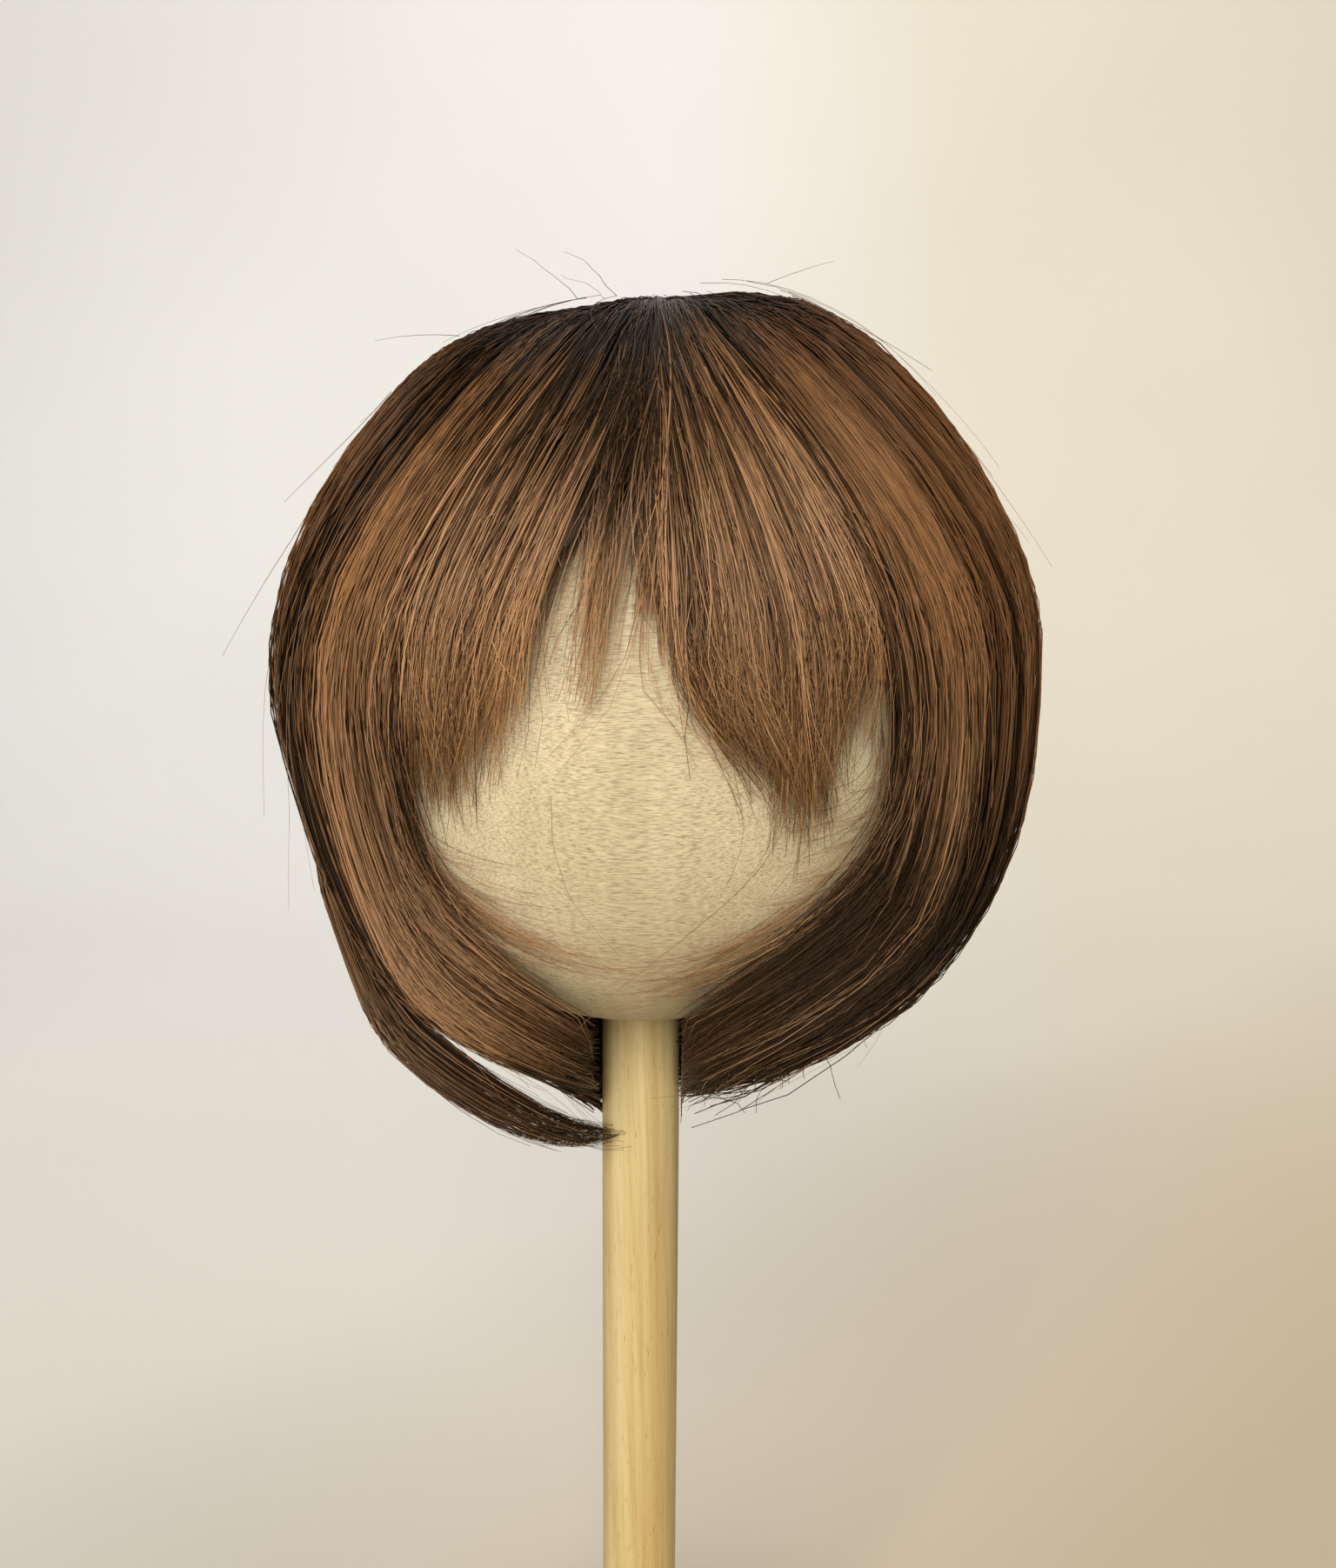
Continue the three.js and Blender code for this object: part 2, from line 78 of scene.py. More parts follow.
# Hair
HAIR_RADIUS_ON_CAP = 34.0
HAIR_RADIUS_BELOW_CAP = 32.7
HAIR_FALLS = (9.0, 18.0)
HAIR_ROOT_POLAR = 7.0
HAIR_THICKNESS = 5.0
HAIR_TIP_THICKNESS = 0.7
# The outer radius of the hair on the sides of the head: polar angle, left, right, front, back
HAIR_OUTLINE = [
    (0, 37.4, 38.4, 37.2, 38.4),
    (15, 37.8, 40.0, 38.0, 40.0),
    (30, 37.7, 40.2, 38.0, 40.4),
    (45, 36.5, 39.2, 37.6, 39.9),
    (60, 35.8, 38.8, 37.0, 39.4),
    (75, 35.5, 38.7, 36.5, 38.9),
    (90, 35.1, 37.9, 36.0, 38.4),
    (105, 34.4, 38.5, 35.7, 38.4),
    (120, 35.6, 39.4, 35.7, 39.0),
    (135, 37.8, 40.2, 36.9, 39.8),
    (150, 38.6, 40.0, 38.0, 40.8),
    (165, 40.2, 40.2, 39.6, 42.4),
    (180, 48.0, 41.6, 42.0, 45.0),
]

# The flow of the hair above the brow: the parting, how hair gathers to it, and how it leans
PARTING = -1.0
GATHER_TURN = 15.0
GATHER_WIDTH = 14.0
LEAN_TURN = 5.5
LEAN_WIDTH = 30.0

# Where the flow changes, from one angle to another: gathering and slant fade, the fringe sweeps aside, hair
# lies down beside the parting and at a curl's edge, and it passes the dowel and keeps clear of it
GATHER_FADES = (48.0, 115.0)
SLANT_FADES = (22.0, 82.0)
FRINGE_SWEEPS = (76.0, 100.0)
PARTING_LIES_DOWN = (42.0, 62.0)
EDGE_LIES_DOWN = (84.0, 104.0)
PASSES_DOWEL = (138.0, 160.0)
CLEARS_DOWEL = (129.0, 140.0)

# How hair below the brow curls in, on the left and on the right: the brow azimuth of the front edge, the
# turn, the polar angle it starts from, both with their growth for each degree behind that edge, and the
# span it takes
CURLS = {
    "left": dict(front=34.0, turn=50.0, turn_growth=0.0, begin=98.0, begin_growth=1.95, span=56.0),
    "right": dict(front=35.0, turn=-31.0, turn_growth=-1.0, begin=95.0, begin_growth=1.5, span=44.0),
}
CURL_GROWS_OVER = 16.0
CURL_FADES = (58.0, 165.0)
EDGE_THICKNESS = 0.9
EDGE_WIDTH = 12.0
FRINGE_TIPS_LIE_DOWN = (70.0, 96.0)

# The loose lock at the lower left: polar, radius, width, thickness
LOOSE_LOCK_AZIMUTH = -80.0
LOOSE_LOCK_TIP = 174.0
LOOSE_LOCK = [
    (60, 35.6, 3.0, 0.6),
    (80, 35.0, 4.0, 0.6),
    (98, 33.9, 5.0, 0.8),
    (106, 33.9, 7.0, 1.2),
    (113, 34.1, 8.0, 1.6),
    (119, 35.2, 9.0, 2.6),
    (127, 36.7, 9.0, 3.2),
    (134, 38.6, 9.0, 3.6),
    (141, 40.6, 9.0, 4.4),
    (147, 41.4, 8.0, 4.6),
    (153, 42.2, 7.0, 4.6),
    (159, 43.2, 6.0, 4.2),
    (166, 44.5, 4.0, 3.0),
    (173, 45.4, 1.5, 1.0),
]

# The thin lock in the fringe's notch: polar, azimuth
NOTCH_LOCK_TIP = 83.0
NOTCH_LOCK_SHORTEST = 60.0
NOTCH_LOCK = [(26.0, -2.0), (46.0, -4.6), (62.0, -5.4), (78.0, -6.6), (90.0, -8.4)]

# Slits that show the ball through the fringe: polar angle, azimuth and half width, each at top and foot
SLIT_LEFT = (49, 76, -6.8, -9.6, 0.7, 2.2)
SLIT_RIGHT = (53, 73, -2.7, -2.0, 0.7, 1.6)
NOTCH = (70, 86, 1.2, 0.5, 0.3, 6.0)

# What the panels of the fringe, the sides and the back have in common: whether they curl in, how deep the
# notches between locks are, how far hairs thin to the tip, points along a hair, how unevenly hairs are cut,
# the shares across between which packed hair lies and how far short of the tips it stops, how warm the tips
# are (their own colour, with painted light shining through them), how dense a curl's edge is, and the slits
FRINGE = dict(
    curls=False, notch=6, taper=0.75, points=12, ragged=8.0, under=(0.01, 0.99), under_short=20, warm=1.0,
    edge=0.0,
)
SIDE = dict(curls=True, notch=6, taper=0.6, points=16, ragged=6.0, under_short=12, slits=[])
BACK = dict(
    curls=True, notch=2, taper=0.2, points=17, ragged=1.4, under=(0.01, 0.99), under_short=0, warm=0.5,
    edge=1.0, slits=[], sweep_to=0, sweep_share=0, strands=1850, clumps=80,
)

# Each panel from one brow azimuth to the next: the polar angles of its lock tips, the azimuth its tips sweep
# to and how much of the way they go, and its hairs and clumps
FRINGE_LEFT = dict(
    FRINGE, name="fringe_left", start=-34, end=-1, tips=(97, 96, 91, 87, 83, 84),
    sweep_to=-34, sweep_share=0.36, strands=2100, clumps=60, slits=[SLIT_LEFT, SLIT_RIGHT, NOTCH],
)
FRINGE_RIGHT = dict(
    FRINGE, name="fringe_right", start=-1, end=35, tips=(80, 94, 97, 99, 98, 87),
    sweep_to=27, sweep_share=0.72, strands=2000, clumps=56, slits=[SLIT_RIGHT, NOTCH],
)
SIDE_LEFT = dict(
    SIDE, name="side_left", start=-50, end=-34, tips=(158, 150, 142, 131),
    sweep_to=0, sweep_share=0, strands=1050, clumps=30, under=(0.01, 0.66), warm=0.85, edge=0.35,
)
SIDE_RIGHT = dict(
    SIDE, name="side_right", start=35, end=54, tips=(132, 141, 148, 154, 159.8),
    sweep_to=54, sweep_share=0.16, strands=1250, clumps=34, under=(0.34, 0.99), warm=0.8, edge=0.10,
)
BACK_LEFT = dict(
    BACK, name="back_left", start=-180, end=-50, tips=(174.4, 174.2, 174.4, 174.4, 174.2, 173, 168),
)
BACK_RIGHT = dict(
    BACK, name="back_right", start=54, end=180, tips=(168, 173, 174, 174.2, 174.2, 174.4, 174.2),
)
HAIR_PANELS = [FRINGE_LEFT, FRINGE_RIGHT, SIDE_LEFT, SIDE_RIGHT, BACK_LEFT, BACK_RIGHT]

# Single hairs: their widths, how near they come to the ball and the dowel, how they gather, where they root,
# how many are strays, away from the fringe's notch and beside it, how they are cut, and their middle tone
HAIR_WIDTHS = (0.08, 0.17)
FINE_WIDTHS = (0.06, 0.11)
FLYAWAY_WIDTHS = (0.05, 0.09)
HAIR_OFF_BALL = 0.4
HAIR_OFF_DOWEL = 0.1
HAIR_BESIDE_DOWEL = 0.5
LEAST_RING = 4.0
WISPS_PER_CLUMP = 6
CLUMPS_PER_LOCK = 5
ROOTED_AT_WHORL = 0.6
ROOTS_SPREAD_DOWN = 48.0
STRAYS = 0.11
STRAYS_BY_NOTCH = 0.03
NOTCH_AZIMUTH = -5.0
NOTCH_REACH = 9.0
CUT_BY_SLITS = 0.93
CUT_ABOVE_SLITS = 7.0
SHORTEST_CUT = 44.0
SHORTEST_HAIR = 20.0
DRAWN_TO_WISP = 0.9
DRAWN_TO_CLUMP = 0.45
LOCK_GROOVE = 0.45
WISPS_FROM = 34.0
HIGHEST_LIFT = 6.0
HAIR_TONE = 0.36


def smooth(value, low, high):
    """How far a value has come from low to high, eased at both ends: 3t^2 - 2t^3."""
    t = np.clip((value - low) / (high - low), 0.0, 1.0)
    return t * t * (3.0 - 2.0 * t)


def bell(value, middle, width):
    """1 at the middle and less on both sides: e to the minus square of the distance in widths."""
    return np.exp(-(((value - middle) / width) ** 2))


def from_table(rows, places):
    """A table's columns at the places asked: cubic pieces with the neighbours' mean slope at each row."""
    rows = np.asarray(rows, float)
    marks, values = rows[:, 0], rows[:, 1:]
    slopes = np.gradient(values, marks, axis=0)
    places = np.clip(places, marks[0], marks[-1])
    low = np.clip(np.searchsorted(marks, places, side="right") - 1, 0, len(marks) - 2)
    step = (marks[low + 1] - marks[low])[..., None]
    t = (places - marks[low])[..., None] / step
    rise = values[low + 1] - values[low]
    ease = t * t * (3.0 - 2.0 * t)
    start = t * (1.0 - t) ** 2 * step * slopes[low]
    stop = t * t * (t - 1.0) * step * slopes[low + 1]
    return values[low] + ease * rise + start + stop


def hair_radius(polar, azimuth):
    """The outer radius of the hair: each side of the head counts by its squared cosine to the azimuth."""
    left, right, front, back = np.moveaxis(from_table(HAIR_OUTLINE, polar), -1, 0)
    across = np.sin(np.radians(azimuth))
    forward = np.cos(np.radians(azimuth))
    side = np.where(across > 0, right, left)
    end = np.where(forward > 0, front, back)
    return across ** 2 * side + forward ** 2 * end


def curl_values(combed):
    """Each value of the curl's table for hair on its own side of the head."""
    pick = np.asarray(combed) < 0
    return {key: np.where(pick, CURLS["left"][key], CURLS["right"][key]) for key in CURLS["left"]}


def hair_curl(combed, polar):
    """How far hair has curled in: a turn eased over a span of polar angles, fading out towards the nape."""
    side = curl_values(combed)
    behind = np.clip(np.abs(combed) - side["front"], 0.0, CURL_GROWS_OVER)
    begin = side["begin"] + side["begin_growth"] * behind
    fade = 1.0 - smooth(np.abs(combed), *CURL_FADES)
    return (side["turn"] + side["turn_growth"] * behind) * fade * smooth(polar, begin, begin + side["span"])


def dowel_half_angle(ring, clearance):
    """The azimuth at which a ring about the dowel's axis passes the dowel's edge, seen from the front."""
    return np.degrees(np.arcsin(np.clip((DOWEL_RADIUS + clearance) / np.maximum(ring, 1.0), 0.0, 1.0)))


def beside_dowel(azimuth, polar):
    """An azimuth moved aside in front of the dowel, so that the hair beside it leaves the dowel in view."""
    ring = hair_radius(polar, azimuth) * np.sin(np.radians(polar))
    dowel = dowel_half_angle(ring, HAIR_BESIDE_DOWEL)
    squeezed = np.clip(1.0 - np.abs(azimuth) / 90.0, 0.0, 1.0)
    return azimuth + np.sign(azimuth) * dowel * smooth(polar, *PASSES_DOWEL) * squeezed


def clear_of_dowel(azimuth, polar, radius, side):
    """An azimuth kept off the dowel's front: on its side (-1 or 1), no nearer than the dowel's edge."""
    ring = radius * np.sin(np.radians(polar))
    least = dowel_half_angle(ring, HAIR_OFF_DOWEL) * smooth(polar, *CLEARS_DOWEL)
    kept = side * np.maximum(side * azimuth, least)
    return np.where((np.abs(azimuth) < 90.0) & (least > 0.0), kept, azimuth)


def hair_azimuth(panel, combed, polar):
    """The azimuth of hair that passes the brow at an azimuth, at any polar angle.

    Above the brow the hair gathers towards the parting, which leans a little to one side. Below it the
    fringe sweeps aside, and the rest curls in round the ball.
    """
    in_front = 1.0 - smooth(np.abs(combed), *GATHER_FADES)
    gather = GATHER_TURN * np.tanh((combed - PARTING) / GATHER_WIDTH) * in_front
    lean = LEAN_TURN * bell(combed, 0.0, LEAN_WIDTH)
    above = 1.0 - smooth(polar, *SLANT_FADES)
    swept = (panel["sweep_to"] - combed) * panel["sweep_share"] * smooth(polar, *FRINGE_SWEEPS)
    azimuth = combed + (lean - gather) * above + swept
    return beside_dowel(azimuth + hair_curl(combed, polar), polar) if panel["curls"] else azimuth


def polar_points(polar, azimuth, radius):
    """Points from polar coordinates about the ball's centre, with the whorl set to one side."""
    ring = radius * np.sin(np.radians(polar))
    whorl = WHORL_OFFSET_X * (1.0 - smooth(polar, 0.0, WHORL_OFFSET_FADES_BY))
    x = ring * np.sin(np.radians(azimuth)) + whorl
    y = -ring * np.cos(np.radians(azimuth))
    z = radius * np.cos(np.radians(polar))
    return np.stack([x, y, z], axis=-1) + BALL_CENTRE


def cap_edge(azimuth):
    """The polar angle of the cap's edge: a cosine from the forehead round to the nape."""
    forward = (1.0 + np.cos(np.radians(azimuth))) / 2.0
    return CAP_EDGE_BACK + (CAP_EDGE_FRONT - CAP_EDGE_BACK) * forward


def hair_seat(polar, azimuth):
    """The radius down to which the hair is full: on the cap, and past its edge eased down to the ball."""
    fallen = smooth(polar - cap_edge(azimuth), *HAIR_FALLS)
    return HAIR_RADIUS_ON_CAP + (HAIR_RADIUS_BELOW_CAP - HAIR_RADIUS_ON_CAP) * fallen


def hair_surface(panel, combed, polar, azimuth):
    """A panel's outer radius: the outline, brought down to the ball at the fringe's tips and front edges."""
    full = hair_radius(polar, azimuth)
    if panel["curls"]:
        behind = np.abs(combed) - curl_values(combed)["front"]
        low = (1.0 - smooth(behind, 0.0, EDGE_WIDTH)) * smooth(polar, *EDGE_LIES_DOWN)
    else:
        beside = (1.0 - smooth(np.abs(combed - PARTING), 0.0, EDGE_WIDTH)) * smooth(polar, *PARTING_LIES_DOWN)
        low = np.maximum(beside, smooth(polar, *FRINGE_TIPS_LIE_DOWN))
    return full + (hair_seat(polar, azimuth) + EDGE_THICKNESS - full) * low


def lock_fullness(share, locks):
    """1 down the middle of each lock and 0 in the grooves: the size of a sine with a half wave per lock."""
    return np.abs(np.sin(np.pi * share * locks))


def lock_tips(panel, share):
    """The polar angle of a panel's lock tips: straight from the middle of one lock to that of the next."""
    tips = np.array(panel["tips"], float)
    return np.interp(share * len(tips) - 0.5, np.arange(len(tips)), tips)


def panel_end(panel, share):
    """The polar angle where a panel ends: its lock tips, with a notch in each groove."""
    return lock_tips(panel, share) - panel["notch"] * (1.0 - lock_fullness(share, len(panel["tips"])))


def write_mesh(name, points, quads, triangles=(), uv=None, sharp=None):
    """An object with a mesh of these points, four- and three-cornered faces, and places on its map."""
    quads = np.asarray(quads, np.int32).reshape(-1, 4)
    triangles = np.asarray(triangles, np.int32).reshape(-1, 3)
    corners = np.concatenate([quads.ravel(), triangles.ravel()])
    starts = np.concatenate([np.arange(len(quads)) * 4, quads.size + np.arange(len(triangles)) * 3])
    mesh = bpy.data.meshes.new(name)
    mesh.vertices.add(len(points))
    mesh.vertices.foreach_set("co", (np.asarray(points) * METRES).astype(np.float32).ravel())
    mesh.loops.add(len(corners))
    mesh.loops.foreach_set("vertex_index", corners)
    mesh.polygons.add(len(starts))
    mesh.polygons.foreach_set("loop_start", starts.astype(np.int32))
    mesh.update(calc_edges=True)
    mesh.shade_smooth()
    if sharp is not None:
        mesh.set_sharp_from_angle(angle=math.radians(sharp))
    if uv is not None:
        layer = mesh.uv_layers.new(name="OFBake")
        layer.uv.foreach_set("vector", np.asarray(uv, np.float32).reshape(-1, 2)[corners].ravel())
    made = bpy.data.objects.new(name, mesh)
    bpy.context.scene.collection.objects.link(made)
    return made


def turned(name, profile, steps, axis_x=0.0):
    """A turned piece: a profile of radius and height, with both ends on an upright axis, carried round."""
    profile = np.asarray(profile, float)
    turn = 2.0 * np.pi * np.arange(steps) / steps
    rows = profile[1:-1]
    x = axis_x + rows[:, :1] * np.cos(turn)
    y = rows[:, :1] * np.sin(turn)
    z = np.repeat(rows[:, 1:], steps, axis=1)
    points = np.stack([x, y, z], axis=-1).reshape(-1, 3)
    ends = np.array([[axis_x, 0.0, profile[0, 1]], [axis_x, 0.0, profile[-1, 1]]])
    index = np.arange(len(points)).reshape(len(rows), steps)
    beside = np.roll(index, -1, axis=1)
    quads = np.stack([index[:-1], beside[:-1], beside[1:], index[1:]], axis=-1)
    first, last = len(points), len(points) + 1
    start = np.stack([np.full(steps, first), beside[0], index[0]], axis=-1)
    stop = np.stack([np.full(steps, last), index[-1], beside[-1]], axis=-1)
    return write_mesh(name, np.concatenate([points, ends]), quads, np.concatenate([start, stop]), sharp=40)


def arc(centre_radius, centre_height, radius, start, stop, steps):
    """Points along a round stretch of a profile, equally spaced in angle."""
    angle = np.radians(np.linspace(start, stop, steps + 1))
    across = centre_radius + radius * np.cos(angle)
    up = centre_height + radius * np.sin(angle)
    return np.stack([across, up], axis=-1)


def wall(name, outer, inner):
    """A closed wall between two grids of points of the same size, its four edges joined by strips."""
    rows, columns, _ = outer.shape
    out = np.arange(rows * columns).reshape(rows, columns)
    ins = out + rows * columns
    faces = [
        np.stack([out[:-1, :-1], out[1:, :-1], out[1:, 1:], out[:-1, 1:]], axis=-1).reshape(-1, 4),
        np.stack([ins[:-1, :-1], ins[:-1, 1:], ins[1:, 1:], ins[1:, :-1]], axis=-1).reshape(-1, 4),
        np.stack([out[0, :-1], out[0, 1:], ins[0, 1:], ins[0, :-1]], axis=-1),
        np.stack([out[-1, 1:], out[-1, :-1], ins[-1, :-1], ins[-1, 1:]], axis=-1),
        np.stack([out[1:, 0], out[:-1, 0], ins[:-1, 0], ins[1:, 0]], axis=-1),
        np.stack([out[:-1, -1], out[1:, -1], ins[1:, -1], ins[:-1, -1]], axis=-1),
    ]
    across, down = np.meshgrid(np.linspace(0.02, 0.98, columns), np.linspace(0.0, 1.0, rows))
    spread = np.stack([across, down], axis=-1).reshape(-1, 2)
    uv = np.concatenate([spread, spread])
    points = np.concatenate([outer.reshape(-1, 3), inner.reshape(-1, 3)])
    return write_mesh(name, points, np.concatenate(faces), uv=uv, sharp=50)


def cap_wall(columns, rows):
    """The cap: a round wall between two spheres from the crown down to its edge, closed along the edge.

    The outer and the inner surface each run from a point at the crown down rings of equal steps.
    """
    azimuth = 360.0 * np.arange(columns) / columns
    down = np.arange(1, rows + 1)[:, None] / rows
    polar = np.radians(cap_edge(azimuth) * down)
    turn = np.radians(azimuth)
    x = np.sin(polar) * np.sin(turn)
    y = -np.sin(polar) * np.cos(turn)
    way = np.concatenate([[[0.0, 0.0, 1.0]], np.stack([x, y, np.cos(polar)], axis=-1).reshape(-1, 3)])
    points = np.concatenate([BALL_CENTRE + CAP_OUTER_RADIUS * way, BALL_CENTRE + CAP_INNER_RADIUS * way])
    out = 1 + np.arange(rows * columns).reshape(rows, columns)
    beside = np.roll(out, -1, axis=1)
    inner = len(way)
    faces = [
        np.stack([out[:-1], out[1:], beside[1:], beside[:-1]], axis=-1).reshape(-1, 4),
        np.stack([out[:-1], beside[:-1], beside[1:], out[1:]], axis=-1).reshape(-1, 4) + inner,
        np.stack([beside[-1], out[-1], out[-1] + inner, beside[-1] + inner], axis=-1).reshape(-1, 4),
    ]
    pole = np.zeros(columns, int)
    outer_pole = np.stack([pole, out[0], beside[0]], axis=-1)
    inner_pole = np.stack([pole, beside[0], out[0]], axis=-1) + inner
    poles = np.concatenate([outer_pole, inner_pole])
    return write_mesh("cap", points, np.concatenate(faces), poles, sharp=50)


def strands(name, paths, widths, tones, down, seed):
    """Many hairs at once: a closed three-sided tube carried along each path, with its width at each point.

    A ring lies across the path's direction, turned by a chance angle for each hair. On the map, a hair has
    its tone across and its share of the way from root to tip upwards.
    """
    count, steps, _ = paths.shape
    along = np.gradient(paths, axis=1)
    along /= np.linalg.norm(along, axis=-1, keepdims=True)
    outward = paths - BALL_CENTRE
    across = np.cross(along, outward)
    across /= np.maximum(np.linalg.norm(across, axis=-1, keepdims=True), 1e-9)
    rise = np.cross(across, along)
    roll = np.random.default_rng(seed).random(count) * 2.0 * np.pi
    turn = roll[:, None] + 2.0 * np.pi * np.arange(3) / 3.0
    cosine = np.cos(turn)[:, None, :, None]
    sine = np.sin(turn)[:, None, :, None]
    half = widths[:, :, None, None] / 2.0
    rings = paths[:, :, None, :] + half * (cosine * across[:, :, None, :] + sine * rise[:, :, None, :])
    index = np.arange(count * steps * 3).reshape(count, steps, 3)
    beside = np.roll(index, -1, axis=2)
    quads = np.stack([index[:, :-1], index[:, 1:], beside[:, 1:], beside[:, :-1]], axis=-1)
    caps = np.concatenate([index[:, 0], index[:, -1, ::-1]])
    margin, span = 0.01, 0.96
    u = margin + span * np.clip(tones, 0.0, 1.0)[:, :, None] + margin * np.arange(3)
    v = np.broadcast_to(np.clip(down, 0.0, 1.0)[:, :, None], u.shape)
    uv = np.stack([u, v], axis=-1)
    return write_mesh(name, rings.reshape(-1, 3), quads, caps, uv=uv)


def wander(rng, count, down, size):
    """A slow sideways drift for each hair: two sine waves of chance phase that grow from root to tip."""
    phase = rng.random((2, count, 1)) * 2.0 * np.pi
    waves = rng.uniform(0.6, 1.6, (count, 1))
    slow = np.sin(2.0 * np.pi * waves * down + phase[0])
    quick = np.sin(4.6 * np.pi * waves * down + phase[1])
    return size * rng.uniform(0.2, 1.0, (count, 1)) * (slow + 0.5 * quick) * (0.15 + 0.85 * down)


def uneven_steps(rng, count, points):
    """Shares of the way along each hair: equal steps, all but the ends slid by a chance part of one."""
    slide = rng.uniform(-0.45, 0.45, (count, 1)) * (np.arange(points) % (points - 1) > 0)
    return (np.arange(points) + slide) / (points - 1)


def uneven_clumps(rng, clumps, share):
    """Which clump each hair falls in and where each clump's middle is, with clumps of chance widths."""
    edges = np.concatenate([[0.0], np.cumsum(rng.gamma(2.5, 1.0, clumps))])
    edges = edges / edges[-1]
    which = np.clip(np.searchsorted(edges, share, side="right") - 1, 0, clumps - 1)
    return which, (edges[:-1] + edges[1:]) / 2.0


def strand_places(rng, panel):
    """Where a panel's hairs lie across it, 0 to 1: sparse along a curl's edge and thinner at the nape."""
    samples = 400
    share = np.linspace(0.0, 1.0, samples)
    combed = panel["start"] + (panel["end"] - panel["start"]) * share
    behind = np.abs(combed) - curl_values(combed)["front"]
    edge = np.ones_like(share)
    if panel["curls"]:
        edge = panel["edge"] + (1.0 - panel["edge"]) * smooth(behind, 1.0, 8.0)
    weight = edge * (1.0 - 0.5 * smooth(np.abs(combed), 75.0, 130.0))
    reached = np.concatenate([[0.0], np.cumsum((weight[1:] + weight[:-1]) / 2.0)])
    even = (np.arange(panel["strands"]) + rng.random(panel["strands"])) / panel["strands"]
    return np.interp(even, reached / reached[-1], share)[:, None]


def painted_light_and_shade(polar, azimuth):
    """Painted light and shade on the hair by place, as a share of the range of tones.

    Painted shade darkens it at the roots, which are also a little darker of their own, in the parting, under
    the head on the right, beside the dowel, in the gap behind the fringe and at the outer left. Painted light
    lightens it on the crown's right, which turns to painted shade lower on that side, beside the fringe's
    notch where light shines through thin tips, at the upper rim, and as a sheen where the fringe and the left
    lock bulge. Each is an amount, eased or belled in by its place.
    """
    in_front = 1.0 - smooth(np.abs(azimuth), 96.0, 150.0)
    # Painted shade, with the roots also a little darker of their own
    dark_roots_and_shade = 0.62 * (1.0 - smooth(polar, 14.0, 58.0))
    painted_parting_shade = 0.60 * bell(azimuth, -2.0, 13.0) * (1.0 - smooth(polar, 46.0, 64.0))
    under = 0.90 * smooth(polar, 88.0, 122.0) * smooth(azimuth, -14.0, 34.0) * in_front
    painted_dowel_shade = 0.85 * smooth(polar, 138.0, 154.0)
    painted_dowel_shade = painted_dowel_shade + 0.55 * bell(azimuth, 0.0, 20.0) * smooth(polar, 124.0, 140.0)
    painted_gap_shade = 0.80 * bell(azimuth, -33.0, 2.4) * smooth(polar, 82.0, 92.0) * (1.0 - smooth(polar, 106.0, 118.0))
    painted_outer_shade = 0.90 * smooth(-azimuth, 56.0, 76.0) * smooth(polar, 50.0, 96.0) * in_front
    # Painted light: through thin tips by the notch, on the crown's right (shade lower down), a sheen, the rim
    notch = 0.30 * bell(azimuth, -3.0, 9.0) * smooth(polar, 56.0, 68.0)
    right = 0.62 * bell(azimuth, 54.0, 28.0) * smooth(polar, 16.0, 34.0)
    painted_right_light_and_shade = right * (1.0 - 1.3 * smooth(polar, 50.0, 90.0))
    bulge = bell(polar, 70.0, 13.0) + 0.7 * bell(polar, 114.0, 22.0)
    painted_sheen = 0.40 * bell(azimuth, -32.0, 22.0) * bulge
    painted_rim_light = 0.45 * smooth(np.abs(azimuth), 62.0, 78.0) * smooth(polar, 18.0, 32.0)
    painted_rim_light = painted_rim_light * (1.0 - smooth(polar, 46.0, 90.0))
    light = painted_right_light_and_shade + painted_sheen + painted_rim_light + notch
    return light - dark_roots_and_shade - painted_parting_shade - under - painted_dowel_shade - painted_gap_shade - painted_outer_shade


def hair_drift(rng, panel, level, down, clump):
    """How far each hair drifts aside along its way, and which hairs are strays.

    Clumps swing in slow sine waves, hairs wander inside them, strays leave them, and all fray at the tips.
    """
    count, clumps = panel["strands"], panel["clumps"]
    swing = np.sin(np.pi * (down * rng.uniform(0.5, 1.6, clumps)[clump] + 2.0 * rng.random(clumps)[clump]))
    drift = wander(rng, count, down, 0.45)
    drift = drift + rng.normal(0.0, 0.55, clumps)[clump] * swing * smooth(down, 0.1, 0.7)
    by_notch = np.abs(level - NOTCH_AZIMUTH) < NOTCH_REACH
    stray = rng.random((count, 1)) < np.where(by_notch, STRAYS_BY_NOTCH, STRAYS)
    drift = drift + stray * rng.normal(0.0, 2.4, (count, 1)) * smooth(down, 0.1, 0.9)
    fray = 1.0 if panel["curls"] else np.where(by_notch, 0.7, 1.7)
    drift = drift + fray * rng.normal(0.0, 1.0, (count, 1)) * smooth(down, 0.75, 1.0)
    return drift, stray


def slit_cuts(rng, slits, cut, polar, azimuth):
    """The cuts with most of the hairs that cross a slit cut short above it.

    A slit is straight from its top to its foot in polar angle and azimuth, and widens evenly.
    """
    for high, low, high_azimuth, low_azimuth, high_half, low_half in slits:
        way = (polar - high) / (low - high)
        off_middle = np.abs(azimuth - high_azimuth - (low_azimuth - high_azimuth) * way)
        inside = (way > 0.0) & (way < 1.0) & (off_middle < high_half + (low_half - high_half) * way)
        crosses = inside.any(axis=1, keepdims=True) & (rng.random(cut.shape) < CUT_BY_SLITS)
        cut = np.where(crosses, np.minimum(cut, high - rng.uniform(0.0, CUT_ABOVE_SLITS, cut.shape)), cut)
    return cut


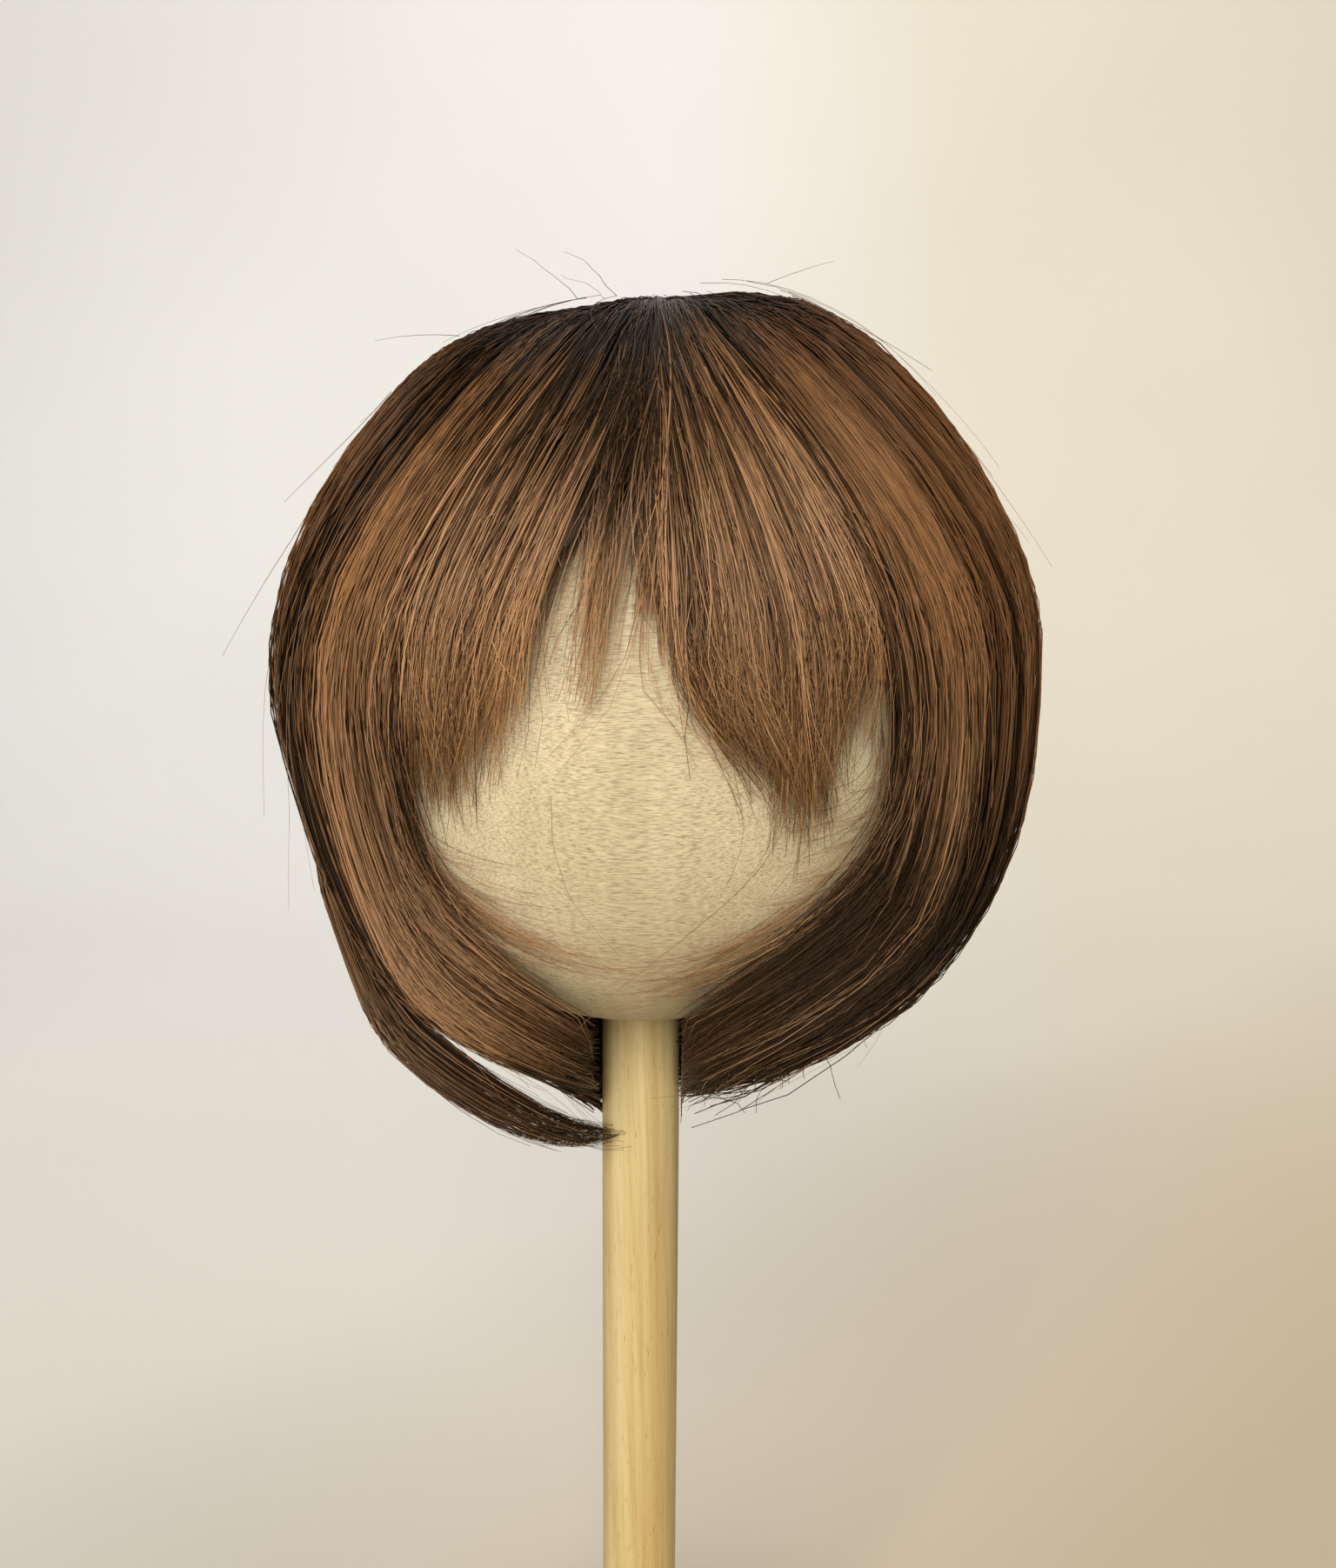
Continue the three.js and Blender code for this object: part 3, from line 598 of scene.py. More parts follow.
def hair_lift(rng, panel, level, down, groups, stray):
    """How far each hair is off its layer: chance lifts by clump, hair, wisp and lock, and of right strays."""
    count, clumps = panel["strands"], panel["clumps"]
    clump, wisp, lock = groups
    begun = smooth(down, 0.1, 0.5)
    lift = rng.normal(0.0, 0.25, clumps)[clump] * begun + wander(rng, count, down, 0.14)
    lift = lift + rng.normal(0.0, 0.12, clumps * WISPS_PER_CLUMP)[wisp] * begun
    lift = lift + rng.normal(0.0, 0.25, clumps // CLUMPS_PER_LOCK)[lock] * begun
    on_right = level > CURLS["right"]["front"]
    return lift + on_right * stray * rng.exponential(0.8, (count, 1)) * smooth(down, 0.8, 1.0)


def hair_tones(rng, panel, polar, azimuth, depth, groups, stray):
    """Tones, 0 dark to 1 light: chance by hair, clump, wisp and lock, with painted shade by depth
    and painted light and shade by place.
    """
    count, clumps = panel["strands"], panel["clumps"]
    clump, wisp, lock = groups
    own = rng.beta(0.9, 1.15, (count, 1)) + rng.normal(0.0, 0.17, clumps)[clump]
    # Deeper hairs are painted darker: painted shade inside the hair
    own = own - 0.35 * depth + 0.10 * stray
    own = own + rng.normal(0.0, 0.17, clumps * WISPS_PER_CLUMP)[wisp] - 0.29
    own = own + rng.normal(0.0, 0.15, clumps // CLUMPS_PER_LOCK)[lock] * smooth(polar, 24.0, 56.0)
    return HAIR_TONE + own * (1.0 + 0.25 * smooth(polar, 56.0, 104.0)) + painted_light_and_shade(polar, azimuth)


def combed_hair(panel, seed):
    """The paths, widths and tones of a panel's hairs.

    Hairs start at the whorl or lower on the cap, lie at their own depth in the panel's thickness, follow the
    combed flow and draw together towards the tips, first into wisps and these into clumps, and are cut
    unevenly.
    """
    rng = np.random.default_rng(seed)
    count, clumps = panel["strands"], panel["clumps"]
    down = uneven_steps(rng, count, panel["points"])
    share = strand_places(rng, panel)
    clump, clump_middle = uneven_clumps(rng, clumps, share)
    wisp, wisp_middle = uneven_clumps(rng, clumps * WISPS_PER_CLUMP, share)
    lock, _ = uneven_clumps(rng, clumps // CLUMPS_PER_LOCK, share)
    groups = (clump, wisp, lock)
    to_wisp = wisp_middle[wisp] - share
    near = share + to_wisp * rng.uniform(0.0, DRAWN_TO_WISP, (count, 1)) * smooth(down, 0.3, 1.0)
    to_clump = clump_middle[clump] - near
    drawn = near + to_clump * rng.uniform(0.0, DRAWN_TO_CLUMP, (count, 1)) * smooth(down, 0.2, 1.0)
    level = panel["start"] + (panel["end"] - panel["start"]) * share
    combed = panel["start"] + (panel["end"] - panel["start"]) * drawn

    # Where each hair is cut: unevenly by clump and hair, shorter beside the parting and at a curl's edge
    full_cut = panel_end(panel, share)
    cut = full_cut + (0.3 + rng.normal(0.0, 0.5, clumps)[clump]) * panel["ragged"]
    cut = cut - rng.exponential(1.0, (count, 1)) * panel["ragged"] + rng.normal(0.0, 1.2, (count, 1))
    depth = rng.random((count, 1)) ** 1.3 * (1.0 - 0.55 * smooth(np.abs(level), 85.0, 125.0))
    frayed = rng.exponential(7.0, (count, 1)) * bell(level, PARTING, 9.0) * (rng.random((count, 1)) < 0.4)
    behind = np.abs(level) - curl_values(level)["front"]
    wispy = (18.0 + rng.exponential(8.0, (count, 1))) * (1.0 - smooth(behind, 0.0, 7.0)) * panel["curls"]
    cut = np.maximum(cut - frayed - wispy, SHORTEST_CUT)

    # Where it is rooted, and how it drifts
    at_whorl = rng.random((count, 1)) < ROOTED_AT_WHORL
    whorl_root = HAIR_ROOT_POLAR + rng.uniform(-4.5, 3.0, (count, 1))
    root = np.where(at_whorl, whorl_root, HAIR_ROOT_POLAR + ROOTS_SPREAD_DOWN * rng.random((count, 1)))
    sideways, stray = hair_drift(rng, panel, level, down, clump)
    depth = np.where(stray, 0.1 * depth, depth)

    def path(cut):
        """Polar angles from root to cut, and azimuths there by the combed flow and the hair's drift."""
        start = np.minimum(root, cut - SHORTEST_HAIR)
        polar = start + (cut - start) * down
        azimuth = hair_azimuth(panel, combed, polar)
        ring = np.maximum(hair_radius(polar, azimuth) * np.sin(np.radians(polar)), LEAST_RING)
        return polar, azimuth + np.degrees(sideways / ring)

    polar, azimuth = path(slit_cuts(rng, panel["slits"], cut, *path(cut)))

    # How high it lies, how wide it is and how light
    outer = hair_surface(panel, combed, polar, azimuth)
    seat = hair_seat(polar, azimuth)
    thickness = HAIR_THICKNESS + (HAIR_TIP_THICKNESS - HAIR_THICKNESS) * down ** 2
    thickness = np.maximum(thickness, (outer - seat) * smooth(polar, 138.0, 156.0))
    inner = np.maximum(seat, outer - thickness)
    from_cap = np.where(at_whorl, 0.25, 1.0) * (1.0 - depth) * (1.0 - smooth(down, 0.0, 0.14))
    lift = hair_lift(rng, panel, level, down, groups, stray)
    groove = LOCK_GROOVE * (1.0 - lock_fullness(drawn, len(panel["tips"]))) * down
    radius = outer - (depth + from_cap) * (outer - inner) + lift - groove
    radius = np.maximum(radius, BALL_RADIUS + HAIR_OFF_BALL)
    azimuth = clear_of_dowel(azimuth, polar, radius, np.sign(level))
    widths = rng.uniform(*HAIR_WIDTHS, (count, 1)) * (1.0 - panel["taper"] * smooth(down, 0.55, 1.0))
    tones = hair_tones(rng, panel, polar, azimuth, depth, groups, stray)
    along = panel["warm"] * (polar - HAIR_ROOT_POLAR) / (full_cut - HAIR_ROOT_POLAR)
    return polar_points(polar, azimuth, radius), widths, tones, along


def under_hair(panel):
    """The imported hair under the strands: a thin wall inside the panel's thickness, short of the tips."""
    columns, rows = 41, 33
    share, down = np.meshgrid(np.linspace(*panel["under"], columns), np.linspace(0.0, 1.0, rows))
    combed = panel["start"] + (panel["end"] - panel["start"]) * share
    short = panel["under_short"] + 22.0 * bell(combed, -4.0, 10.0)
    polar = HAIR_ROOT_POLAR + (lock_tips(panel, share) - short - HAIR_ROOT_POLAR) * down
    azimuth = hair_azimuth(panel, combed, polar)
    outer = hair_surface(panel, combed, polar, azimuth)
    inner = np.maximum(hair_seat(polar, azimuth), outer - HAIR_THICKNESS)
    low = polar_points(polar, azimuth, inner + 0.15 * (outer - inner))
    high = polar_points(polar, azimuth, inner + (0.55 - 0.25 * down) * (outer - inner))
    return wall(panel["name"] + "_under_hair", high, low)


def loose_lock(count, points, seed):
    """The lock that swings out: hairs spread over an oval carried along the table, fanned at the tip."""
    rng = np.random.default_rng(seed)
    down = uneven_steps(rng, count, points)
    place = rng.random((count, 1)) ** 0.35
    turn = rng.random((count, 1)) * 2.0 * np.pi
    start = rng.uniform(62.0, 100.0, (count, 1))
    stop = LOOSE_LOCK_TIP - rng.exponential(5.0, (count, 1)) + 4.0 * (rng.random((count, 1)) < 0.08)
    polar = start + (stop - start) * down
    radius, width, thickness = np.moveaxis(from_table(LOOSE_LOCK, polar), -1, 0)
    ring = radius * np.sin(np.radians(polar))
    fan = smooth(down, 0.75, 1.0) * (rng.random((count, 1)) < 0.5)
    aside = width / 2.0 * place * np.cos(turn) + wander(rng, count, down, 0.25)
    aside = aside + rng.normal(0.0, 1.0, (count, 1)) * fan
    rise = thickness / 2.0 * place * np.sin(turn) + wander(rng, count, down, 0.12)
    rise = rise + rng.normal(0.1, 0.4, (count, 1)) * fan
    azimuth = LOOSE_LOCK_AZIMUTH + hair_curl(LOOSE_LOCK_AZIMUTH, polar)
    azimuth = azimuth + np.degrees(aside / np.maximum(ring, LEAST_RING))
    widths = rng.uniform(0.09, 0.17, (count, 1)) * (1.0 - 0.7 * smooth(down, 0.6, 1.0))
    # Darker towards the dowel under the ball: painted shade
    tones = rng.beta(0.7, 1.2, (count, 1)) - 0.24 - 0.25 * smooth(polar, 140.0, 170.0)
    return polar_points(polar, azimuth, radius + rise), widths, tones, 0.7 * polar / LOOSE_LOCK_TIP


def notch_lock(count, points, seed):
    """The thin lock that hangs in the fringe's notch: hairs side by side along the table's path."""
    rng = np.random.default_rng(seed)
    down = uneven_steps(rng, count, points)
    start = rng.uniform(26.0, 44.0, (count, 1))
    stop = np.maximum(NOTCH_LOCK_TIP - rng.exponential(8.0, (count, 1)), NOTCH_LOCK_SHORTEST)
    polar = start + (stop - start) * down
    middle = np.interp(polar, *np.transpose(NOTCH_LOCK))
    spread = rng.normal(0.0, 1.0, (count, 1)) * (1.2 - 0.1 * down)
    azimuth = middle + spread + np.degrees(wander(rng, count, down, 0.5) / 30.0)
    depth = rng.random((count, 1))
    outer = hair_surface(FRINGE_LEFT, middle, polar, azimuth)
    radius = outer - 0.9 * depth - 0.5 * (1.0 - smooth(down, 0.0, 0.3))
    radius = np.maximum(radius, BALL_RADIUS + HAIR_OFF_BALL)
    widths = rng.uniform(0.08, 0.15, (count, 1)) * (1.0 - 0.7 * smooth(down, 0.5, 1.0))
    # Painted shade for the deeper hairs, and painted light and shade by place
    tones = rng.uniform(0.25, 0.9, (count, 1)) - 0.3 * depth + painted_light_and_shade(polar, azimuth)
    return polar_points(polar, azimuth, radius), widths, tones, (polar - HAIR_ROOT_POLAR) / 78.0


def flyaways(side, count, points, seed):
    """Single hairs that have come loose on one side of the head (-1 or 1).

    Each runs with the hair from a chance place for a chance way, lifts off by the square of the way gone
    and drifts aside. A third leave from the ends of the hair under the ball, and a few stand up straight.
    """
    rng = np.random.default_rng(seed)
    down = uneven_steps(rng, count, points)
    low = rng.random((count, 1)) < 0.33
    combed = side * np.where(low, rng.uniform(46.0, 125.0, (count, 1)), rng.uniform(8.0, 125.0, (count, 1)))
    start = np.where(low, rng.uniform(118.0, 150.0, (count, 1)), rng.uniform(6.0, 95.0, (count, 1)))
    stands = rng.random((count, 1)) < 0.04
    way = np.where(stands, rng.uniform(4.0, 12.0, (count, 1)), rng.uniform(18.0, 46.0, (count, 1)))
    polar = start + way * down
    straight = rng.uniform(2.5, 5.5, (count, 1)) * down
    lift = np.where(stands, straight, rng.exponential(1.5, (count, 1)) * down ** 2)
    ring = np.maximum(38.0 * np.sin(np.radians(polar)), 6.0)
    aside = rng.normal(0.0, 3.0, (count, 1)) * down ** 2 + wander(rng, count, down, 0.5)
    azimuth = hair_azimuth(BACK_LEFT, combed, polar) + np.degrees(aside / ring)
    radius = hair_radius(polar, azimuth) + 0.1 + np.minimum(lift, HIGHEST_LIFT)
    widths = rng.uniform(*FLYAWAY_WIDTHS, (count, 1)) * (1.0 - 0.5 * down)
    tones = rng.uniform(0.3, 0.9, (count, 1)) + 0.0 * polar
    return polar_points(polar, azimuth, radius), widths, tones, np.clip(polar / 150.0, 0.0, 0.9)


def wisps(side, count, points, seed):
    """Fine ends that leave the front edge of a curl, on one side (-1 or 1), and fan out over the ball.

    Each follows the curl from a chance place. It turns in further by the square of the way gone while its
    fall slows.
    """
    rng = np.random.default_rng(seed)
    panel = SIDE_LEFT if side < 0 else SIDE_RIGHT
    down = uneven_steps(rng, count, points)
    combed = side * (WISPS_FROM + rng.uniform(0.5, 12.0, (count, 1)))
    start = rng.uniform(96.0, 114.0, (count, 1)) if side < 0 else rng.uniform(82.0, 124.0, (count, 1))
    polar = start + rng.uniform(16.0, 36.0, (count, 1)) * (down - 0.5 * down ** 2)
    turn = rng.uniform(1.0, 17.0, (count, 1)) * down ** 2
    azimuth = hair_azimuth(panel, combed, polar) - side * turn
    azimuth = azimuth + np.degrees(wander(rng, count, down, 0.5) / BALL_RADIUS)
    radius = BALL_RADIUS + HAIR_OFF_BALL + rng.uniform(0.0, 1.2, (count, 1)) * (1.0 - 0.5 * down)
    widths = rng.uniform(*FINE_WIDTHS, (count, 1)) * (1.0 - 0.6 * down)
    tones = rng.uniform(0.15, 0.85, (count, 1)) + 0.0 * polar
    return polar_points(polar, azimuth, radius), widths, tones, np.clip(polar / 140.0, 0.0, 0.85)


def loose_ends(count, points, seed):
    """Short hairs that leave the lower edge of the hair beside the dowel, on the right.

    Each starts at a chance place on the edge, runs on towards the dowel or away from it and sinks off the
    hair by the square of the way gone.
    """
    rng = np.random.default_rng(seed)
    down = uneven_steps(rng, count, points)
    polar = rng.uniform(146.0, 160.0, (count, 1)) + rng.uniform(-2.0, 9.0, (count, 1)) * down
    azimuth = rng.uniform(20.0, 75.0, (count, 1)) - rng.uniform(-16.0, 30.0, (count, 1)) * down
    sunk = rng.uniform(-2.6, 0.0, (count, 1)) + rng.exponential(1.4, (count, 1)) * down ** 2
    azimuth = azimuth + np.degrees(wander(rng, count, down, 1.2) / 15.0)
    radius = hair_radius(polar, azimuth) + np.minimum(sunk, HIGHEST_LIFT)
    azimuth = clear_of_dowel(azimuth, polar, radius, 1.0)
    widths = rng.uniform(0.09, 0.14, (count, 1)) * (1.0 - 0.4 * down)
    tones = rng.uniform(0.0, 0.5, (count, 1)) + 0.0 * polar
    return polar_points(polar, azimuth, radius), widths, tones, np.clip(polar / 220.0, 0.0, 0.8)


def linear(red, green, blue):
    """A colour as seen on a screen, 0 to 255, as the light amounts that a shader takes."""
    seen = np.array([red, green, blue]) / 255.0
    light = np.where(seen <= 0.04045, seen / 12.92, ((seen + 0.055) / 1.055) ** 2.4)
    return (*light.tolist(), 1.0)


def new_material(name, roughness, specular):
    """A material with its node list, its link list and its shader."""
    made = bpy.data.materials.new(name)
    made.use_nodes = True
    shader = made.node_tree.nodes["Principled BSDF"]
    shader.inputs["Roughness"].default_value = roughness
    shader.inputs["Specular IOR Level"].default_value = specular
    return made, made.node_tree.nodes, made.node_tree.links, shader


def ramp(nodes, stops):
    """A colour ramp node with these stops of place and colour."""
    made = nodes.new("ShaderNodeValToRGB")
    bar = made.color_ramp.elements
    while len(bar) < len(stops):
        bar.new(0.5)
    for mark, (place, colour) in zip(bar, stops):
        mark.position = place
        mark.color = colour
    return made


def mix(nodes, links, factor, first, second, blend="MIX"):
    """A colour mix node; each of factor, first and second is a socket or a value."""
    made = nodes.new("ShaderNodeMix")
    made.data_type = "RGBA"
    made.blend_type = blend
    for socket, value in ((made.inputs[0], factor), (made.inputs[6], first), (made.inputs[7], second)):
        if isinstance(value, bpy.types.NodeSocket):
            links.new(value, socket)
        else:
            socket.default_value = value
    return made.outputs[2]


def scaled_place(nodes, links, scale, turn=(0.0, 0.0, 0.0), shift=(0.0, 0.0, 0.0)):
    """The object's own coordinates in millimetres: turned, scaled along each axis, then shifted."""
    place = nodes.new("ShaderNodeTexCoord")
    turned_place = nodes.new("ShaderNodeMapping")
    turned_place.inputs["Rotation"].default_value = [math.radians(angle) for angle in turn]
    stretch = nodes.new("ShaderNodeMapping")
    stretch.inputs["Scale"].default_value = [amount / METRES for amount in scale]
    stretch.inputs["Location"].default_value = shift
    links.new(place.outputs["Object"], turned_place.inputs["Vector"])
    links.new(turned_place.outputs["Vector"], stretch.inputs["Vector"])
    return stretch.outputs["Vector"]


def noise(nodes, links, vector, detail=2.0, roughness=0.5):
    """A noise node over these coordinates, one lump to a unit."""
    made = nodes.new("ShaderNodeTexNoise")
    made.inputs["Scale"].default_value = 1.0
    made.inputs["Detail"].default_value = detail
    made.inputs["Roughness"].default_value = roughness
    links.new(vector, made.inputs["Vector"])
    return made.outputs["Fac"]


def add_bump(nodes, links, shader, height, strength, depth):
    """Small relief on a material: a bump node of this strength, and of this depth in millimetres."""
    bump = nodes.new("ShaderNodeBump")
    bump.inputs["Strength"].default_value = strength
    bump.inputs["Distance"].default_value = depth * METRES
    links.new(height, bump.inputs["Height"])
    links.new(bump.outputs["Normal"], shader.inputs["Normal"])


def hair_map(nodes):
    """The node of the hair's own map: tone or place across, share of the way from root to tip upwards."""
    place = nodes.new("ShaderNodeUVMap")
    place.uv_map = "OFBake"
    return place


def hair_material():
    """Brown hair: a hair's tone picks between a dark and a light brown, both warmer towards the tip.

    The warmer, lighter tips are partly the hair's own colour and partly painted light shining through them.
    """
    made, nodes, links, shader = new_material("brown_hair", roughness=0.34, specular=0.15)
    shader.inputs["Specular Tint"].default_value = (1.0, 0.80, 0.62, 1.0)
    split = nodes.new("ShaderNodeSeparateXYZ")
    links.new(hair_map(nodes).outputs["UV"], split.inputs["Vector"])
    # Lighter towards the tip: partly the hair's own colour, partly painted light through the tips
    dark = ramp(nodes, [
        (0.05, linear(9, 5, 2)),
        (0.35, linear(26, 17, 9)),
        (0.7, linear(48, 34, 22)),
        (1.0, linear(110, 75, 46)),
    ])
    light = ramp(nodes, [
        (0.05, linear(84, 52, 28)),
        (0.35, linear(148, 106, 68)),
        (0.7, linear(178, 137, 100)),
        (1.0, linear(210, 162, 110)),
    ])
    links.new(split.outputs["Y"], dark.inputs["Fac"])
    links.new(split.outputs["Y"], light.inputs["Fac"])
    colour = mix(nodes, links, split.outputs["X"], dark.outputs["Color"], light.outputs["Color"])
    links.new(colour, shader.inputs["Base Color"])
    return made


def under_hair_material():
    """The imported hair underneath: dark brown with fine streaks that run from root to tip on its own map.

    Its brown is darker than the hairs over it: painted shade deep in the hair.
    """
    made, nodes, links, shader = new_material("under_hair", roughness=0.55, specular=0.3)
    stretch = nodes.new("ShaderNodeMapping")
    stretch.inputs["Scale"].default_value = (160.0, 3.0, 1.0)
    links.new(hair_map(nodes).outputs["UV"], stretch.inputs["Vector"])
    streak = noise(nodes, links, stretch.outputs["Vector"], detail=3.0, roughness=0.6)
    # Darker than the hairs over it: painted shade deep in the hair
    colour = ramp(nodes, [(0.3, linear(24, 16, 10)), (0.7, linear(60, 40, 25))])
    links.new(streak, colour.inputs["Fac"])
    links.new(colour.outputs["Color"], shader.inputs["Base Color"])
    return made


def ball_material():
    """Pale turned wood whose fibres run along X: streaks in front, pores at both ends, faint growth bands.

    Noise stretched along the fibres gives the streaks. A band up the middle is a little darker as painted
    shade, and both sides a little lighter as painted light.
    """
    made, nodes, links, shader = new_material("ball_wood", roughness=0.62, specular=0.3)
    fibre = noise(nodes, links, scaled_place(nodes, links, (0.9, 9.0, 9.0)), detail=3.0, roughness=0.65)
    cloud = noise(nodes, links, scaled_place(nodes, links, (0.05, 0.05, 0.05)))
    band = noise(nodes, links, scaled_place(nodes, links, (0.30, 0.02, 0.02)))
    across = nodes.new("ShaderNodeSeparateXYZ")
    across_place = scaled_place(nodes, links, (0.02, 0.02, 0.02), shift=(0.5, 0.0, 0.0))
    links.new(across_place, across.inputs["Vector"])
    base = ramp(nodes, [(0.3, linear(186, 171, 136)), (0.7, linear(203, 190, 158))])
    streaks = ramp(nodes, [
        (0.30, (0.50, 0.46, 0.40, 1.0)),
        (0.52, (1.0, 1.0, 1.0, 1.0)),
        (0.72, (1.26, 1.28, 1.30, 1.0)),
    ])
    bands = ramp(nodes, [(0.40, (0.95, 0.94, 0.92, 1.0)), (0.60, (1.02, 1.02, 1.02, 1.0))])
    # Painted shade in the middle and painted light at both sides, across X
    painted_shade_across = ramp(nodes, [
        (0.20, (1.03, 1.03, 1.03, 1.0)),
        (0.42, (0.93, 0.92, 0.90, 1.0)),
        (0.60, (0.94, 0.93, 0.91, 1.0)),
        (0.85, (1.05, 1.06, 1.05, 1.0)),
    ])
    links.new(cloud, base.inputs["Fac"])
    colour = base.outputs["Color"]
    for amount, layer in ((fibre, streaks), (band, bands), (across.outputs["X"], painted_shade_across)):
        links.new(amount, layer.inputs["Fac"])
        colour = mix(nodes, links, 1.0, colour, layer.outputs["Color"], "MULTIPLY")
    links.new(colour, shader.inputs["Base Color"])
    add_bump(nodes, links, shader, fibre, strength=0.12, depth=0.2)
    return made


def dowel_material(name, light, dark):
    """Straight-grained pale wood: noise drawn out along Z into lines, small dark dashes and darker growth."""
    made, nodes, links, shader = new_material(name, roughness=0.55, specular=0.35)
    line_place = scaled_place(nodes, links, (2.2, 2.2, 0.05), turn=(0.0, 2.0, 0.0))
    dash_place = scaled_place(nodes, links, (7.0, 7.0, 0.55), turn=(0.0, 2.0, 0.0))
    growth_place = scaled_place(nodes, links, (0.55, 0.20, 0.012), turn=(0.0, 1.0, 0.0))
    line = noise(nodes, links, line_place, detail=4.0, roughness=0.6)
    dash = noise(nodes, links, dash_place, detail=1.0)
    growth = noise(nodes, links, growth_place, detail=1.0)
    base = ramp(nodes, [(0.35, light), (0.65, dark)])
    lines = ramp(nodes, [(0.32, (0.86, 0.82, 0.74, 1.0)), (0.55, (1.0, 1.0, 1.0, 1.0))])
    dashes = ramp(nodes, [(0.24, (0.72, 0.62, 0.48, 1.0)), (0.34, (1.0, 1.0, 1.0, 1.0))])
    links.new(growth, base.inputs["Fac"])
    colour = base.outputs["Color"]
    for amount, layer in ((line, lines), (dash, dashes)):
        links.new(amount, layer.inputs["Fac"])
        colour = mix(nodes, links, 1.0, colour, layer.outputs["Color"], "MULTIPLY")
    links.new(colour, shader.inputs["Base Color"])
    return made


def cloth_material(name, light, dark, stitches):
    """Knitted cloth: small lumps of noise over the object's coordinates, light on top and painted shade
    between.
    """
    made, nodes, links, shader = new_material(name, roughness=0.85, specular=0.2)
    knit = noise(nodes, links, scaled_place(nodes, links, (stitches, stitches, stitches)), detail=1.0)
    # Lighter on the lumps and darker in the hollows between: painted shade
    colour = ramp(nodes, [(0.35, dark), (0.65, light)])
    links.new(knit, colour.inputs["Fac"])
    links.new(colour.outputs["Color"], shader.inputs["Base Color"])
    add_bump(nodes, links, shader, knit, strength=0.5, depth=0.3)
    return made


def paper_material():
    """White studio paper: faint clouds, and painted shade that makes it warmer near by and to the right, and
    darker towards the near right.
    """
    made, nodes, links, shader = new_material("studio_paper", roughness=0.9, specular=0.1)
    white = linear(255, 255, 255)
    cloud = noise(nodes, links, scaled_place(nodes, links, (0.004, 0.004, 0.004)))
    place = nodes.new("ShaderNodeSeparateXYZ")
    links.new(scaled_place(nodes, links, (0.001, 0.001, 0.001)), place.inputs["Vector"])
    slant = nodes.new("ShaderNodeSeparateXYZ")
    slant_place = scaled_place(nodes, links, (-0.001, 0.001, 0.001), turn=(0.0, 0.0, 50.0))
    links.new(slant_place, slant.inputs["Vector"])
    tone = ramp(nodes, [(0.3, linear(221, 221, 219)), (0.7, linear(227, 227, 225))])
    # Painted shade: warmer near by and to the right, darker towards the near right
    near = ramp(nodes, [(0.05, linear(236, 230, 222)), (0.40, white)])
    across = ramp(nodes, [(0.0, white), (0.14, linear(250, 244, 231))])
    painted_corner_shade = ramp(nodes, [(0.0, linear(228, 220, 206)), (0.14, white)])
    links.new(cloud, tone.inputs["Fac"])
    colour = tone.outputs["Color"]
    back, right, slanted = place.outputs["Y"], place.outputs["X"], slant.outputs["X"]
    for amount, layer in ((back, near), (right, across), (slanted, painted_corner_shade)):
        links.new(amount, layer.inputs["Fac"])
        colour = mix(nodes, links, 1.0, colour, layer.outputs["Color"], "MULTIPLY")
    links.new(colour, shader.inputs["Base Color"])
    return made


def studio_sweep():
    """A floor that curves up into a back wall: a line, a quarter circle and a line, carried along X."""
    bend = np.radians(np.linspace(0.0, 90.0, 25))
    wall_y = SWEEP_BENDS_FROM + SWEEP_BEND
    y = np.concatenate([[SWEEP_NEAR], SWEEP_BENDS_FROM + SWEEP_BEND * np.sin(bend), [wall_y]])
    z = np.concatenate([[0.0], SWEEP_BEND - SWEEP_BEND * np.cos(bend), [SWEEP_HEIGHT]])
    x = np.array([-SWEEP_HALF_WIDTH, SWEEP_HALF_WIDTH])
    points = np.stack([np.repeat(x, len(y)), np.tile(y, 2), np.tile(z, 2)], axis=-1)
    index = np.arange(len(y))
    quads = np.stack([index[:-1], index[:-1] + len(y), index[1:] + len(y), index[1:]], axis=-1)
    return write_mesh("studio_sweep", points, quads)


def area_light(name, place, aim, size, power, colour):
    """A square soft light that faces the point it aims at."""
    lamp = bpy.data.lights.new(name, "AREA")
    lamp.size = size * METRES
    lamp.energy = power
    lamp.color = colour
    made = bpy.data.objects.new(name, lamp)
    made.location = [amount * METRES for amount in place]
    away = np.array(aim, float) - np.array(place, float)
    tilt = math.atan2(math.hypot(away[0], away[1]), -away[2])
    made.rotation_euler = (tilt, 0.0, math.atan2(away[1], away[0]) - math.pi / 2.0)
    bpy.context.scene.collection.objects.link(made)


def finish_piece(piece, material, node):
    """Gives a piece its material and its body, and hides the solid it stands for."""
    piece.data.materials.append(material)
    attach(piece, "root")
    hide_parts(node)


# The stand
socket_radius = DOWEL_RADIUS + SEAT_GAP
socket_top = BALL_CENTRE[2] - BALL_RADIUS + BALL_SOCKET_DEPTH + SEAT_GAP
mouth = -math.degrees(math.acos(socket_radius / BALL_RADIUS))
ball_profile = np.concatenate([
    [(0.0, socket_top), (socket_radius, socket_top)],
    arc(0.0, BALL_CENTRE[2], BALL_RADIUS, start=mouth, stop=89.0, steps=64),
    [(0.0, BALL_CENTRE[2] + BALL_RADIUS)],
])
finish_piece(turned("ball", ball_profile, steps=112), ball_material(), "stand_ball")

